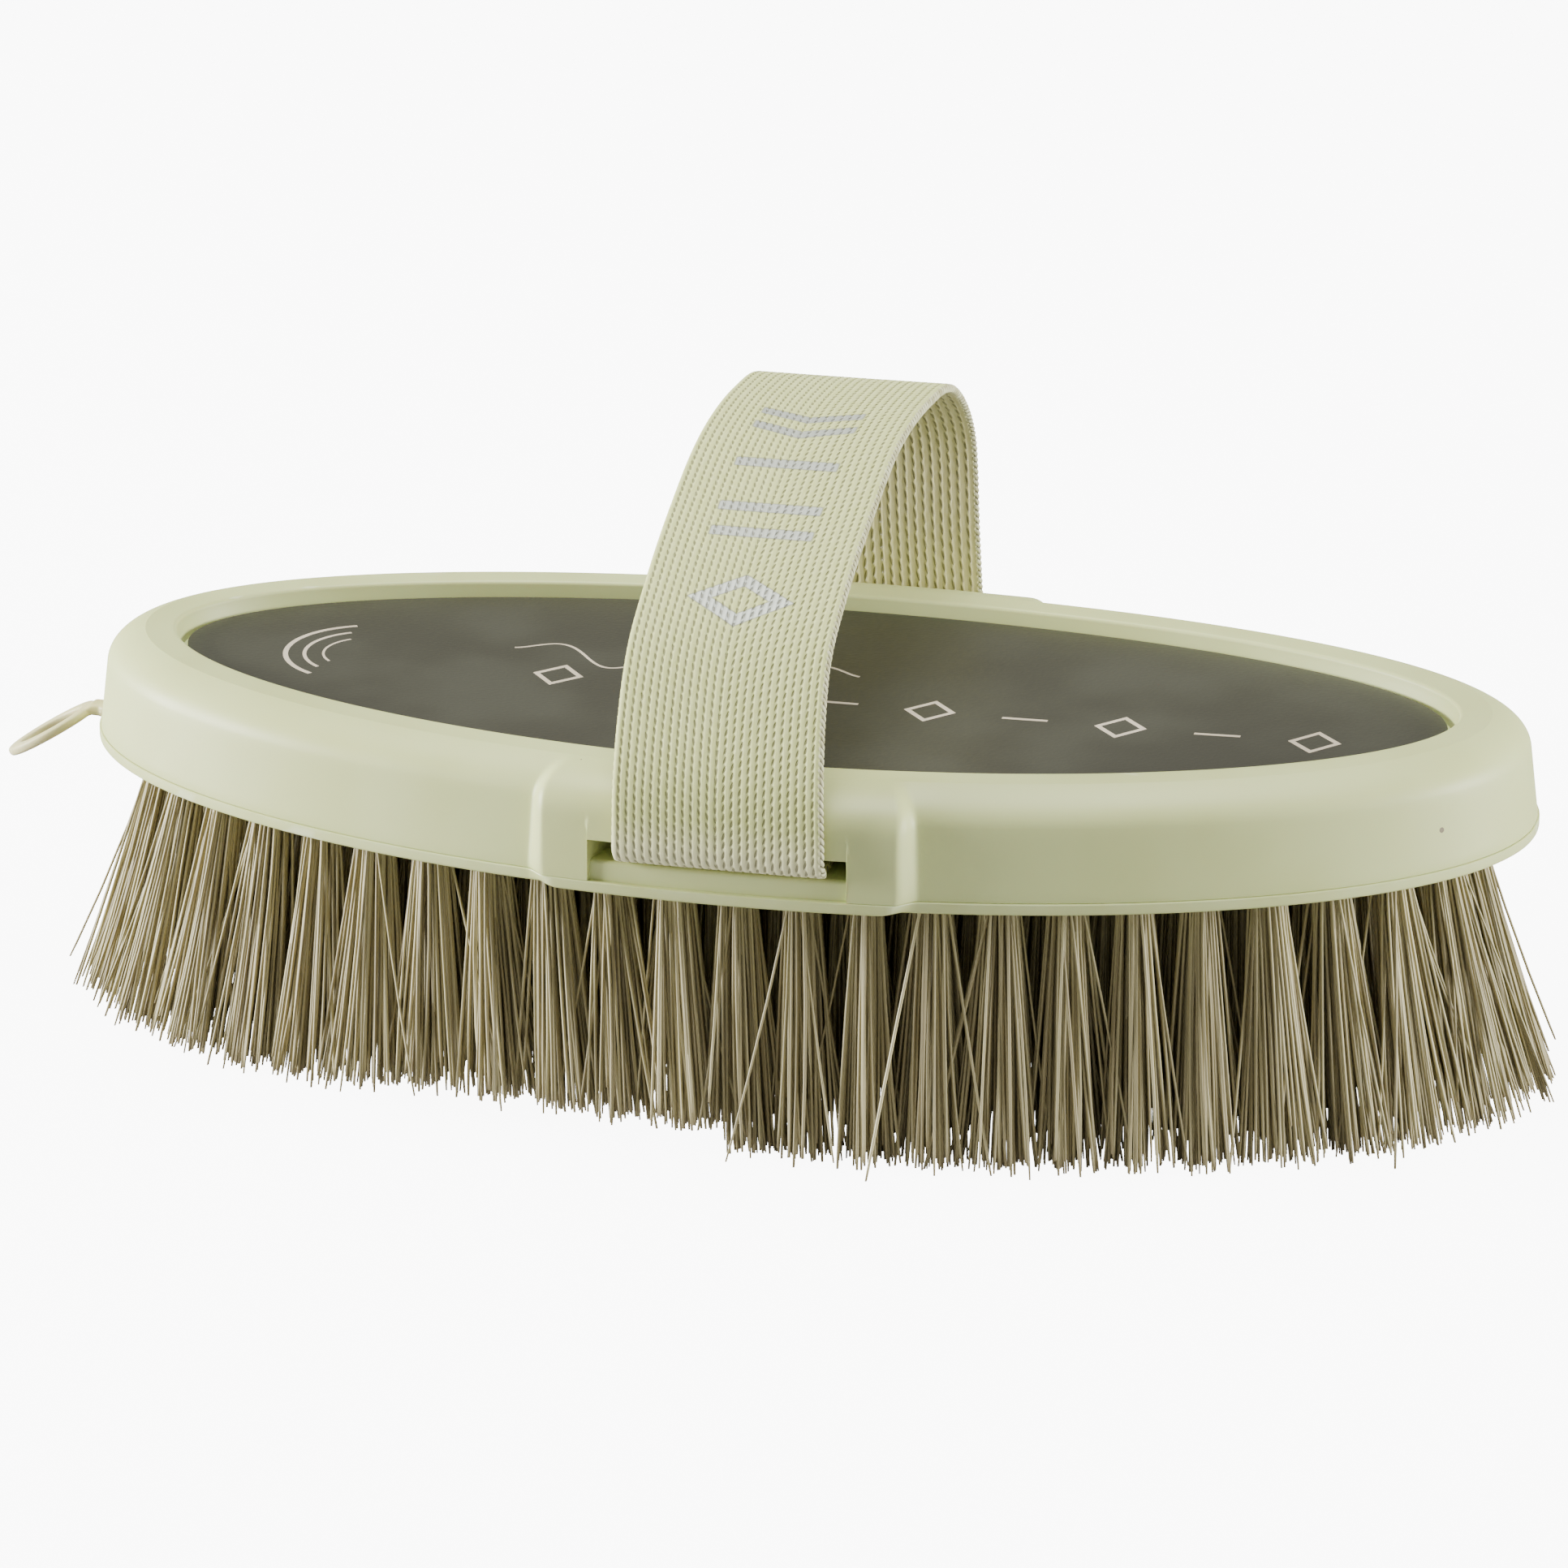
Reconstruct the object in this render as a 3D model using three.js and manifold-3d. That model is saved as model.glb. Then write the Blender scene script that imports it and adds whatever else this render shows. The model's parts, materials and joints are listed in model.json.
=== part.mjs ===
// Oval grooming brush: a two-part moulded body with a webbing hand strap, a recessed
// inlay, rows of bristle tufts and a flexible hanging loop.
// Millimetres, +Z up. The bristle tips stand on z = 0 with the origin under the middle
// of the body, +X runs along the body, and the hanging loop is at the -X end.
import * as THREE from "three";
import { mergeVertices } from "three/addons/utils/BufferGeometryUtils.js";
import Module from "manifold-3d";

const wasm = await Module();
wasm.setup();

// ---- Body outline ----
const BODY_LENGTH = 200;
const BODY_WIDTH = 93.8;
const OUTLINE_POWER = 2.05; // 2 is an ellipse, and more is squarer
const RIM_WIDTH = 11; // from the outline in to the lip of the recess
const RIM_POWER = 1.93;
const END_RISE = 1.6; // the ends of the body curve up this far above its middle
const OUTLINE_STEPS = 64;
const FLAT_STEP = 12; // widest ring on a flat face, so that it can follow the curve of the body

// ---- Body heights, above the underside of the bristle plate ----
const FLANGE_HEIGHT = 1.6; // edge of the bristle plate that shows under the shell
const PLATE_HEIGHT = 8.2;
const SHOULDER_START = 11.2;
const SHOULDER_DROP = 1; // how far the shoulder would fall out to the wall if it ran on straight
const LAND_HEIGHT = 15.6; // flat ring round the recess
const RECESS_DEPTH = 2.1; // from the flat ring down to the face of the inlay

// ---- Body walls ----
const DRAFT = THREE.MathUtils.degToRad(7.2);
const WALL = 2.4;
const SHOULDER_WIDTH = 6.7;
const LIP_RADIUS = 1.2;
const RECESS_DRAFT = 0.25;
const INLAY_EDGE_GAP = 0.35;
const INLAY_THICKNESS = 0.9;
const DECK_THICKNESS = 2.2;
const GAP = 0.3; // between pieces that touch
const EDGE_CHAMFER = 0.3;
const POST_RADIUS = 4;
const POST_SPREAD = 14; // support posts, off the centre line
const POST_STATIONS = [34, 66]; // support posts, along the body
const POST_ROOT = 1; // how far a post is sunk into the plate it grows from
const ROUND_SIDES = 12; // sides of the posts and of the loop's knuckle

// ---- Strap pads and slots on the two long sides ----
const PAD_MARGIN = 9; // pad left on each side of the slot
const PAD_PROUD = 1.7;
const PAD_TOP = [
  [-1.4, 5.4],
  [-0.7, 3.2],
  [1.2, 1.3],
  [3.6, 0.45],
  [6, 0.15],
]; // a pad's face and rounded top: inset, and how far below the land
const SLOT_SIDE_ROOM = 3.05; // on each side of the strap
const SLOT_HEADROOM = 1.6; // over the strap
const SILL_HEIGHT = 4.4; // bottom of the slot
const SILL_SETBACK = 0.7;
const SILL_DEPTH = 8;

// ---- Hand strap ----
const STRAP_WIDTH = 28.2;
const STRAP_THICKNESS = 1.3;
const STRAP_RISE = 49.2; // centre of the webbing at its highest, above the underside
const STRAP_BEND = 2.05; // radius where the webbing turns up outside the slot
const STRAP_LAP = 14; // the ends lap this far past the middle, one on the other
const LAP_RAMP = 3; // run in which the upper end climbs onto the lower
const STRAP_STEPS = 44;
// The arch from the near side to the far side: share of the way out, share of the way up.
const STRAP_ARCH = [
  [-0.968, 0.18],
  [-0.885, 0.355],
  [-0.73, 0.565],
  [-0.5, 0.725],
  [-0.23, 0.85],
  [0.07, 0.962],
  [0.385, 1],
  [0.65, 0.965],
  [0.88, 0.73],
  [0.945, 0.34],
];

// ---- Hanging loop ----
const LOOP_LENGTH = 14.5;
const LOOP_WIDTH = 12;
const LOOP_BAND = 2.2;
const LOOP_THICKNESS = 1.2;
const LOOP_BEVEL = 0.4;
const LOOP_DROOP = THREE.MathUtils.degToRad(32);
const LOOP_STEPS = 24;
const NECK_WIDTH = 3;
const NECK_REACH = 1.6; // straight part of the neck, before the loop droops
const NECK_HEIGHT = 0.85; // centre of the neck above the underside

// ---- Bristle tufts ----
const BRISTLE_LENGTH = 34.5; // from the tips to the underside of the plate
const TUFT_RADIUS = 2.75;
const TUFT_SIDES = 6;
const TUFT_HOLE_WEB = 1.2; // plastic left over a tuft's hole
const HOLE_START = 1; // how far under the plate a hole is cut from, to open it cleanly
const CHANNEL_WEB = 0.9; // and over a hole under the strap's channel
const TUFT_TIP_SHARE = 0.53; // half a splayed tuft's width along its row, as a share of the pitch
const TUFT_ACROSS_SHARE = 0.44; // and across it, as a share of the least room between rings
const TUFT_PITCH = 8.7;
const ROW_INSET = 10; // from the outline in to the outer row
const CENTRE_ROOM = 1.2414; // pitches from the innermost ring of tufts to the centre row
const CENTRE_END_ROOM = 7.25; // the centre row ends where the innermost ring is this near
const SPLAY = 10.6; // how far the tips of the outer row lean out
const GATHER = 0.95; // the tips of one group draw together by this share
const ROWS = [
  { name: "tufts_row_1", groups: 12 },
  { name: "tufts_row_2", groups: 7 },
  { name: "tufts_row_3", groups: 6 },
  { name: "tufts_row_4", groups: 5 },
];

// ---- Worked out ----
const HALF_LENGTH = BODY_LENGTH / 2;
const HALF_WIDTH = BODY_WIDTH / 2;
const RIM_HALF_LENGTH = HALF_LENGTH - RIM_WIDTH;
const RIM_HALF_WIDTH = HALF_WIDTH - RIM_WIDTH;
const SHELL_BOTTOM = FLANGE_HEIGHT + GAP;
const INLAY_TOP = LAND_HEIGHT - RECESS_DEPTH;
const DECK_TOP = INLAY_TOP - INLAY_THICKNESS - GAP;
const DECK_BOTTOM = DECK_TOP - DECK_THICKNESS;
const SLOT_WIDTH = STRAP_WIDTH + 2 * SLOT_SIDE_ROOM;
const SLOT_TOP = SILL_HEIGHT + STRAP_THICKNESS + SLOT_HEADROOM;
const PAD_HALF_LENGTH = SLOT_WIDTH / 2 + PAD_MARGIN;
const STRAP_LOW = SILL_HEIGHT + GAP + STRAP_THICKNESS / 2;
const STRAP_OUT = HALF_WIDTH + PAD_PROUD + GAP + STRAP_THICKNESS / 2;
const TUFT_FLAT = Math.cos(Math.PI / TUFT_SIDES); // middle of a flat, for a corner at 1
const ROW_PITCH = (HALF_WIDTH - ROW_INSET) / (ROWS.length - 1 + CENTRE_ROOM);
const FAR = 4 * BODY_LENGTH; // larger than any piece, for cutting blocks

const material = (color, roughness) =>
  new THREE.MeshStandardMaterial({ color, roughness, metalness: 0 });
const CREAM_PLASTIC = material(0xd6d4b4, 0.45);
const LOOP_PLASTIC = material(0xd9d5b5, 0.5);
const INLAY_PANEL = material(0x6f6757, 0.55);
const WEBBING = material(0xd0cdaf, 0.85);
const BRISTLE = material(0xa39782, 0.7);

// ---- Solids ----
function solid(geometry) {
  geometry.deleteAttribute("normal");
  geometry.deleteAttribute("uv");
  const merged = mergeVertices(geometry, 1e-4);
  const vertProperties = merged.attributes.position.array;
  const triVerts = new Uint32Array(merged.index.array);
  const made = new wasm.Manifold(new wasm.Mesh({ numProp: 3, vertProperties, triVerts }));
  if (made.volume() > 0) return made;
  triVerts.reverse(); // the faces pointed inwards
  return new wasm.Manifold(new wasm.Mesh({ numProp: 3, vertProperties, triVerts }));
}

// Heights of the body's ends rise with the square of the distance from its middle.
// Bristle tips are trimmed flat, so the rise fades out from the underside down to them.
function bend(x, z) {
  return END_RISE * (x / HALF_LENGTH) ** 2 * Math.min(1, z / BRISTLE_LENGTH);
}

// The finished mesh of a solid modelled with a flat body whose underside is at z = 0.
function piece(name, flat, look) {
  const { numProp, numVert, vertProperties, triVerts } = flat.getMesh();
  const position = new Float32Array(numVert * 3);
  for (let i = 0; i < numVert; i++) {
    const [x, y, height] = vertProperties.subarray(i * numProp, i * numProp + 3);
    const z = height + BRISTLE_LENGTH;
    position.set([x, y, z + bend(x, z)], i * 3);
  }
  const geometry = new THREE.BufferGeometry()
    .setAttribute("position", new THREE.BufferAttribute(position, 3))
    .setIndex(new THREE.BufferAttribute(triVerts, 1));
  geometry.computeVertexNormals();
  const mesh = new THREE.Mesh(geometry, look);
  mesh.name = name;
  return mesh;
}

function block(x0, x1, y0, y1, z0, z1) {
  const box = new THREE.BoxGeometry(x1 - x0, y1 - y0, z1 - z0);
  return solid(box.translate((x0 + x1) / 2, (y0 + y1) / 2, (z0 + z1) / 2));
}

// An upright cylinder.
function post(x, y, z0, z1) {
  const cylinder = new THREE.CylinderGeometry(POST_RADIUS, POST_RADIUS, z1 - z0, ROUND_SIDES);
  return solid(cylinder.rotateX(Math.PI / 2).translate(x, y, (z0 + z1) / 2));
}

// ---- The oval ----
function ovalPoint(halfLength, halfWidth, power, angle) {
  const c = Math.cos(angle);
  const s = Math.sin(angle);
  return new THREE.Vector2(
    halfLength * Math.sign(c) * Math.abs(c) ** (2 / power),
    halfWidth * Math.sign(s) * Math.abs(s) ** (2 / power),
  );
}

// A point of the body's plan: inset 0 is the outline, RIM_WIDTH is the lip of the recess,
// the rest shrinks to the middle, and a negative inset is outside the outline.
function planPoint(angle, inset) {
  const rim = ovalPoint(RIM_HALF_LENGTH, RIM_HALF_WIDTH, RIM_POWER, angle);
  if (inset >= RIM_WIDTH) return rim.multiplyScalar((HALF_WIDTH - inset) / RIM_HALF_WIDTH);
  const outer = ovalPoint(HALF_LENGTH, HALF_WIDTH, OUTLINE_POWER, angle);
  if (inset >= 0) return outer.lerp(rim, inset / RIM_WIDTH);
  const slope = (along, half) =>
    (Math.sign(along) * Math.abs(along / half) ** (OUTLINE_POWER - 1)) / half;
  const outward = new THREE.Vector2(slope(outer.x, HALF_LENGTH), slope(outer.y, HALF_WIDTH));
  return outer.addScaledVector(outward.normalize(), -inset);
}

// A section of [inset, height] points, carried round the oval.
function ovalSolid(section) {
  const points = section.map(([inset, height]) => new THREE.Vector2(HALF_WIDTH - inset, height));
  const lathe = new THREE.LatheGeometry(points, OUTLINE_STEPS);
  const position = lathe.getAttribute("position");
  for (let i = 0; i < position.count; i++) {
    const [x, height, z] = [position.getX(i), position.getY(i), position.getZ(i)];
    const spot = planPoint(Math.atan2(z, x), HALF_WIDTH - Math.hypot(x, z));
    position.setXYZ(i, spot.x, spot.y, height);
  }
  return solid(lathe);
}

// Points across a flat face at one height, from one inset to another.
function flatFace(from, to, height) {
  const steps = Math.ceil(Math.abs(to - from) / FLAT_STEP);
  return Array.from({ length: steps + 1 }, (_, i) => [from + ((to - from) * i) / steps, height]);
}

// The part of a ring within a distance of the middle: one block on each long side.
function sideBlocks(section, halfSpan) {
  return ovalSolid([...section, section[0]]).intersect(
    block(-halfSpan, halfSpan, -FAR, FAR, -FAR, FAR),
  );
}

const wallInset = (height) => height * Math.tan(DRAFT);
const curvePoints = (curve, steps) => curve.getPoints(steps).map((p) => [p.x, p.y]);

// ---- Back shell ----
function backShell() {
  const shoulder = new THREE.QuadraticBezierCurve(
    new THREE.Vector2(wallInset(SHOULDER_START), SHOULDER_START),
    new THREE.Vector2(wallInset(LAND_HEIGHT), LAND_HEIGHT - SHOULDER_DROP),
    new THREE.Vector2(SHOULDER_WIDTH, LAND_HEIGHT),
  );
  const lip = new THREE.EllipseCurve(
    RIM_WIDTH - LIP_RADIUS, LAND_HEIGHT - LIP_RADIUS, LIP_RADIUS, LIP_RADIUS, Math.PI / 2, 0, true,
  );
  const hollowTop = LAND_HEIGHT - WALL;
  const recessWall = RIM_WIDTH - WALL;
  const shell = ovalSolid([
    ...flatFace(HALF_WIDTH, wallInset(DECK_BOTTOM) + RIM_WIDTH - RECESS_DRAFT, DECK_BOTTOM),
    [recessWall + RECESS_DRAFT, DECK_BOTTOM],
    [recessWall, hollowTop],
    [SHOULDER_WIDTH, hollowTop],
    [wallInset(DECK_BOTTOM) + WALL, DECK_BOTTOM],
    [wallInset(SHELL_BOTTOM) + WALL, SHELL_BOTTOM],
    [wallInset(SHELL_BOTTOM), SHELL_BOTTOM],
    ...curvePoints(shoulder, 5),
    ...curvePoints(lip, 3),
    ...flatFace(RIM_WIDTH + RECESS_DRAFT, HALF_WIDTH, DECK_TOP),
  ]);
  const pads = sideBlocks(
    [
      [-PAD_PROUD, SHELL_BOTTOM],
      ...PAD_TOP.map(([inset, below]) => [inset, LAND_HEIGHT - below]),
      [PAD_TOP.at(-1)[0], LAND_HEIGHT - WALL / 2],
      [wallInset(SHOULDER_START) + WALL / 2, SHOULDER_START],
      [wallInset(SHELL_BOTTOM) + WALL / 2, SHELL_BOTTOM],
    ],
    PAD_HALF_LENGTH,
  );
  const notch = block(-SLOT_WIDTH / 2, SLOT_WIDTH / 2, -FAR, FAR, -FAR, SLOT_TOP);
  return shell.add(pads).subtract(notch);
}

// ---- Inlay ----
function inlay() {
  const edge = RIM_WIDTH + RECESS_DRAFT + INLAY_EDGE_GAP;
  return ovalSolid([
    ...flatFace(HALF_WIDTH, edge, DECK_TOP + GAP),
    ...flatFace(edge, HALF_WIDTH, INLAY_TOP),
  ]);
}

// ---- Bristle plate ----
function bristlePlate(tufts) {
  const plugInset = (height) => wallInset(height) + WALL + GAP;
  const plate = ovalSolid([
    ...flatFace(HALF_WIDTH, EDGE_CHAMFER, 0),
    [0, EDGE_CHAMFER],
    [wallInset(FLANGE_HEIGHT), FLANGE_HEIGHT],
    [plugInset(FLANGE_HEIGHT), FLANGE_HEIGHT],
    ...flatFace(plugInset(PLATE_HEIGHT), HALF_WIDTH, PLATE_HEIGHT),
  ]);
  const flangePads = sideBlocks(
    [
      [EDGE_CHAMFER - PAD_PROUD, 0],
      [-PAD_PROUD, EDGE_CHAMFER],
      [-PAD_PROUD, FLANGE_HEIGHT],
      [PAD_PROUD, FLANGE_HEIGHT],
      [PAD_PROUD, 0],
    ],
    PAD_HALF_LENGTH,
  );
  const sillFace = SILL_SETBACK - PAD_PROUD;
  const sills = sideBlocks(
    [
      [sillFace, FLANGE_HEIGHT / 2],
      [sillFace, SILL_HEIGHT - 2 * EDGE_CHAMFER],
      [sillFace + 2 * EDGE_CHAMFER, SILL_HEIGHT],
      [SILL_DEPTH, SILL_HEIGHT],
      [SILL_DEPTH, FLANGE_HEIGHT / 2],
    ],
    SLOT_WIDTH / 2 - GAP,
  );
  const channel = block(-SLOT_WIDTH / 2, SLOT_WIDTH / 2, -FAR, FAR, SILL_HEIGHT, FAR);
  const posts = POST_STATIONS.flatMap((x) =>
    [-1, 1].flatMap((end) =>
      [-POST_SPREAD, POST_SPREAD].map((y) =>
        post(end * x, y, PLATE_HEIGHT - POST_ROOT, DECK_BOTTOM - GAP),
      ),
    ),
  );
  return wasm.Manifold.union([plate, flangePads, sills])
    .subtract(channel)
    .add(wasm.Manifold.union(posts))
    .subtract(wasm.Manifold.union(tufts.map(tuftHole)));
}

// ---- Ribbons: a strip of even thickness along a path ----
// The path lies in a plane, and the strip has its width across that plane.
function ribbon(path, thickness, width) {
  const side = (sign) =>
    path.map((p, i) => {
      const along = path[Math.min(i + 1, path.length - 1)]
        .clone()
        .sub(path[Math.max(i - 1, 0)])
        .normalize();
      return new THREE.Vector2(-along.y, along.x).multiplyScalar((sign * thickness) / 2).add(p);
    });
  const shape = new THREE.Shape([...side(-1), ...side(1).reverse()]);
  const strip = new THREE.ExtrudeGeometry(shape, { depth: width, bevelEnabled: false });
  return strip.translate(0, 0, -width / 2);
}

// ---- Hand strap ----
// One band: it lies in the channel across the plate, leaves by both slots, and its
// second end laps over the first in the middle of the channel.
function strapPath() {
  const archFoot = STRAP_LOW + STRAP_BEND;
  const turnAt = STRAP_OUT - STRAP_BEND;
  const arch = new THREE.CatmullRomCurve3(
    [[-1, 0], ...STRAP_ARCH, [1, 0]].map(
      ([out, up]) =>
        new THREE.Vector3(out * STRAP_OUT, archFoot + up * (STRAP_RISE - archFoot), 0),
    ),
    false,
    "centripetal",
  );
  const turn = (side, from, to) =>
    new THREE.EllipseCurve(side * turnAt, archFoot, STRAP_BEND, STRAP_BEND, from, to, true)
      .getPoints(4);
  const lapHeight = STRAP_LOW + STRAP_THICKNESS + GAP;
  return [
    new THREE.Vector2(STRAP_LAP, STRAP_LOW),
    ...turn(-1, 1.5 * Math.PI, Math.PI),
    ...arch.getPoints(STRAP_STEPS).slice(1, -1),
    ...turn(1, 2 * Math.PI, 1.5 * Math.PI),
    new THREE.Vector2(STRAP_LAP + 3 * STRAP_THICKNESS + LAP_RAMP, STRAP_LOW),
    new THREE.Vector2(STRAP_LAP + 2 * STRAP_THICKNESS, lapHeight),
    new THREE.Vector2(-STRAP_LAP, lapHeight),
  ].map((p) => new THREE.Vector2(p.x, p.y));
}

function handStrap() {
  const strip = ribbon(strapPath(), STRAP_THICKNESS, STRAP_WIDTH);
  return solid(strip.rotateX(Math.PI / 2).rotateZ(Math.PI / 2));
}

// ---- Hanging loop ----
function hangingLoop() {
  const pivot = new THREE.Vector2(-(HALF_LENGTH + GAP + LOOP_THICKNESS / 2), NECK_HEIGHT);
  const droop = new THREE.Vector2(-Math.cos(LOOP_DROOP), -Math.sin(LOOP_DROOP));
  const start = pivot.clone().add(new THREE.Vector2(-NECK_REACH, 0));
  const centre = start.clone().addScaledVector(droop, LOOP_LENGTH / 2);
  const neckPath = [pivot, start, start.clone().addScaledVector(droop, LOOP_BAND)];
  const neck = solid(ribbon(neckPath, LOOP_THICKNESS, NECK_WIDTH).rotateX(Math.PI / 2));
  const knuckle = new THREE.CylinderGeometry(
    LOOP_THICKNESS / 2, LOOP_THICKNESS / 2, NECK_WIDTH, ROUND_SIDES,
  );
  const bevel = LOOP_BEVEL;
  const inner = LOOP_WIDTH / 2 - LOOP_BAND;
  const outer = LOOP_WIDTH / 2;
  const half = LOOP_THICKNESS / 2;
  const section = [
    [inner + bevel, -half], [outer - bevel, -half], [outer, bevel - half], [outer, half - bevel],
    [outer - bevel, half], [inner + bevel, half], [inner, half - bevel], [inner, bevel - half],
    [inner + bevel, -half],
  ].map(([r, z]) => new THREE.Vector2(r, z));
  const ring = new THREE.LatheGeometry(section, LOOP_STEPS)
    .rotateX(Math.PI / 2)
    .scale(LOOP_LENGTH / LOOP_WIDTH, 1, 1)
    .rotateY(-LOOP_DROOP)
    .translate(centre.x, 0, centre.y);
  return wasm.Manifold.union([
    neck,
    solid(knuckle.translate(pivot.x, 0, pivot.y)),
    solid(ring),
  ]);
}

// ---- Tufts ----
// Each tuft is { root, tip, along, spread, holeDepth }: where it leaves the plate, where
// its tips stand, the direction of its row, and the spread of its tips along and across it.
function tuft(root, tip, along, spread) {
  const underChannel = Math.abs(root.x) < SLOT_WIDTH / 2 + TUFT_RADIUS + GAP;
  const holeDepth = underChannel ? SILL_HEIGHT - CHANNEL_WEB : PLATE_HEIGHT - TUFT_HOLE_WEB;
  return { root, tip, along, spread, holeDepth };
}

// Half the widths of a tuft at its tips. Rings inset evenly from a long oval lie closest
// part way round its ends, at a share of their spacing that follows from its sides.
function tipSpread(pitch, ringHalfLength, ringHalfWidth) {
  const spacing = ROW_PITCH * (1 + SPLAY / (HALF_WIDTH - ROW_INSET));
  const closest = (2 * Math.sqrt(ringHalfLength * ringHalfWidth)) / (ringHalfLength + ringHalfWidth);
  return { along: TUFT_TIP_SHARE * pitch, across: TUFT_ACROSS_SHARE * spacing * closest };
}

// The half length, half width and lean of a ring of tufts.
function ringSize(row) {
  const halfWidth = HALF_WIDTH - ROW_INSET - row * ROW_PITCH;
  return {
    halfLength: HALF_LENGTH - ROW_INSET - row * ROW_PITCH,
    halfWidth,
    lean: (SPLAY * halfWidth) / (HALF_WIDTH - ROW_INSET),
  };
}

function rowTufts(row) {
  const { halfLength, halfWidth, lean } = ringSize(row);
  const roots = new THREE.EllipseCurve(0, 0, halfLength, halfWidth);
  const tips = new THREE.EllipseCurve(0, 0, halfLength + lean, halfWidth + lean);
  const { groups } = ROWS[row];
  const inGroup = Math.round(roots.getLength() / TUFT_PITCH / groups);
  const count = groups * inGroup;
  const tipPitch = (tips.getLength() / count) * GATHER;
  const spread = tipSpread(tipPitch, halfLength + lean, halfWidth + lean);
  return Array.from({ length: groups }, (_, group) =>
    Array.from({ length: inGroup }, (_, i) => {
      const middle = (inGroup - 1) / 2;
      const tipAt = (group * inGroup + middle + (i - middle) * GATHER) / count;
      return tuft(
        roots.getPointAt((group * inGroup + i) / count),
        tips.getPointAt(tipAt),
        tips.getTangentAt(tipAt),
        spread,
      );
    }),
  );
}

function centreTufts() {
  const inner = ringSize(ROWS.length - 1);
  const halfLength = inner.halfLength * Math.sqrt(1 - (CENTRE_END_ROOM / inner.halfWidth) ** 2);
  const each = Math.round(halfLength / TUFT_PITCH);
  const spread = tipSpread(
    halfLength / each, inner.halfLength + inner.lean, inner.halfWidth + inner.lean,
  );
  return Array.from({ length: 2 * each + 1 }, (_, i) => {
    const spot = new THREE.Vector2(((i - each) * halfLength) / each, 0);
    return tuft(spot, spot, new THREE.Vector2(1, 0), spread);
  });
}

// A leaning, flaring column along the line of a tuft, from one height down to another.
// Clearance is added all round it.
function tuftColumn({ root, tip, along, spread }, top, bottom, clearance) {
  const across = new THREE.Vector2(-along.y, along.x);
  const bundle = new THREE.CylinderGeometry(1, 1, top - bottom, TUFT_SIDES);
  bundle.translate(0, (top + bottom) / 2, 0);
  const position = bundle.getAttribute("position");
  for (let i = 0; i < position.count; i++) {
    const height = position.getY(i);
    const down = -height / BRISTLE_LENGTH; // 0 at the underside of the plate, 1 at the tips
    const half = (tipHalf) => THREE.MathUtils.lerp(TUFT_RADIUS, tipHalf, down) + clearance;
    const spot = root.clone().lerp(tip, down);
    spot.addScaledVector(along, position.getX(i) * half(spread.along / TUFT_FLAT));
    spot.addScaledVector(across, position.getZ(i) * half(spread.across));
    position.setXYZ(i, spot.x, spot.y, height);
  }
  return solid(bundle);
}

const tuftSolid = (tuft) => tuftColumn(tuft, tuft.holeDepth - GAP, -BRISTLE_LENGTH, 0);
const tuftHole = (tuft) => tuftColumn(tuft, tuft.holeDepth, -HOLE_START, GAP / TUFT_FLAT);

// ---- Assembly ----
const rows = ROWS.map((_, row) => rowTufts(row));
const centreRow = centreTufts();

const brush = new THREE.Group();
brush.add(
  piece("back_shell", backShell(), CREAM_PLASTIC),
  piece("inlay_panel", inlay(), INLAY_PANEL),
  piece("bristle_plate", bristlePlate([...rows.flat(2), ...centreRow]), CREAM_PLASTIC),
  piece("hand_strap", handStrap(), WEBBING),
  piece("hanging_loop", hangingLoop(), LOOP_PLASTIC),
  piece("tufts_centre", wasm.Manifold.union(centreRow.map(tuftSolid)), BRISTLE),
);
rows.forEach((groups, row) =>
  groups.forEach((group, i) => {
    const name = `${ROWS[row].name}_${String(i + 1).padStart(2, "0")}`;
    brush.add(piece(name, wasm.Manifold.union(group.map(tuftSolid)), BRISTLE));
  }),
);

export default brush;
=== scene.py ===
"""An oval grooming brush, dressed round the CAD bodies `brush` and `loop`.

The moulded back and bristle plate, the printed inlay, the webbing hand strap, the soft
hanging loop and the bristle tufts each have a class that builds and finishes them.
Metres, +Z up, with the bristle tips on z = 0 and the hanging loop at the -X end.
"""

import json
import logging
import math
from dataclasses import dataclass, field
from enum import Enum

import bmesh
import bpy
import numpy as np
from mathutils import Matrix, Vector


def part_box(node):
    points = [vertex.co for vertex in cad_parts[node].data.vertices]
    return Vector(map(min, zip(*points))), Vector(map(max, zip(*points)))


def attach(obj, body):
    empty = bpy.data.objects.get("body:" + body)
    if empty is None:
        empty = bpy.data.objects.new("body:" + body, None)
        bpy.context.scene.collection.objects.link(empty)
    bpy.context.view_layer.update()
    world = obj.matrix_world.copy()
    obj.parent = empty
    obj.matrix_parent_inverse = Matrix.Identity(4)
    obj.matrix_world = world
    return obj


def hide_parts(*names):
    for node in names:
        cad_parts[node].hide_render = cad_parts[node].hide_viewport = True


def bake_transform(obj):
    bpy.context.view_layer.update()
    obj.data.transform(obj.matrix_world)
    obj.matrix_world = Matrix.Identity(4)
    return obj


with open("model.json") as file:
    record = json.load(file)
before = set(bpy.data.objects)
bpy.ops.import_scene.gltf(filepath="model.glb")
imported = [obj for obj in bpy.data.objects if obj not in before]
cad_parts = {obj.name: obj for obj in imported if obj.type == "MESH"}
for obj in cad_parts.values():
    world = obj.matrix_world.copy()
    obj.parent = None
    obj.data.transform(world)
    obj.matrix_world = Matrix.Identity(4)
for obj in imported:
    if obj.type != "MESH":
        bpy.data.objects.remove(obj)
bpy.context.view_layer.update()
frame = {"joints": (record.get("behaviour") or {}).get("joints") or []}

log = logging.getLogger("brush")
MM = 0.001
SEED = 20
MERGE_DISTANCE = 2e-7
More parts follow.
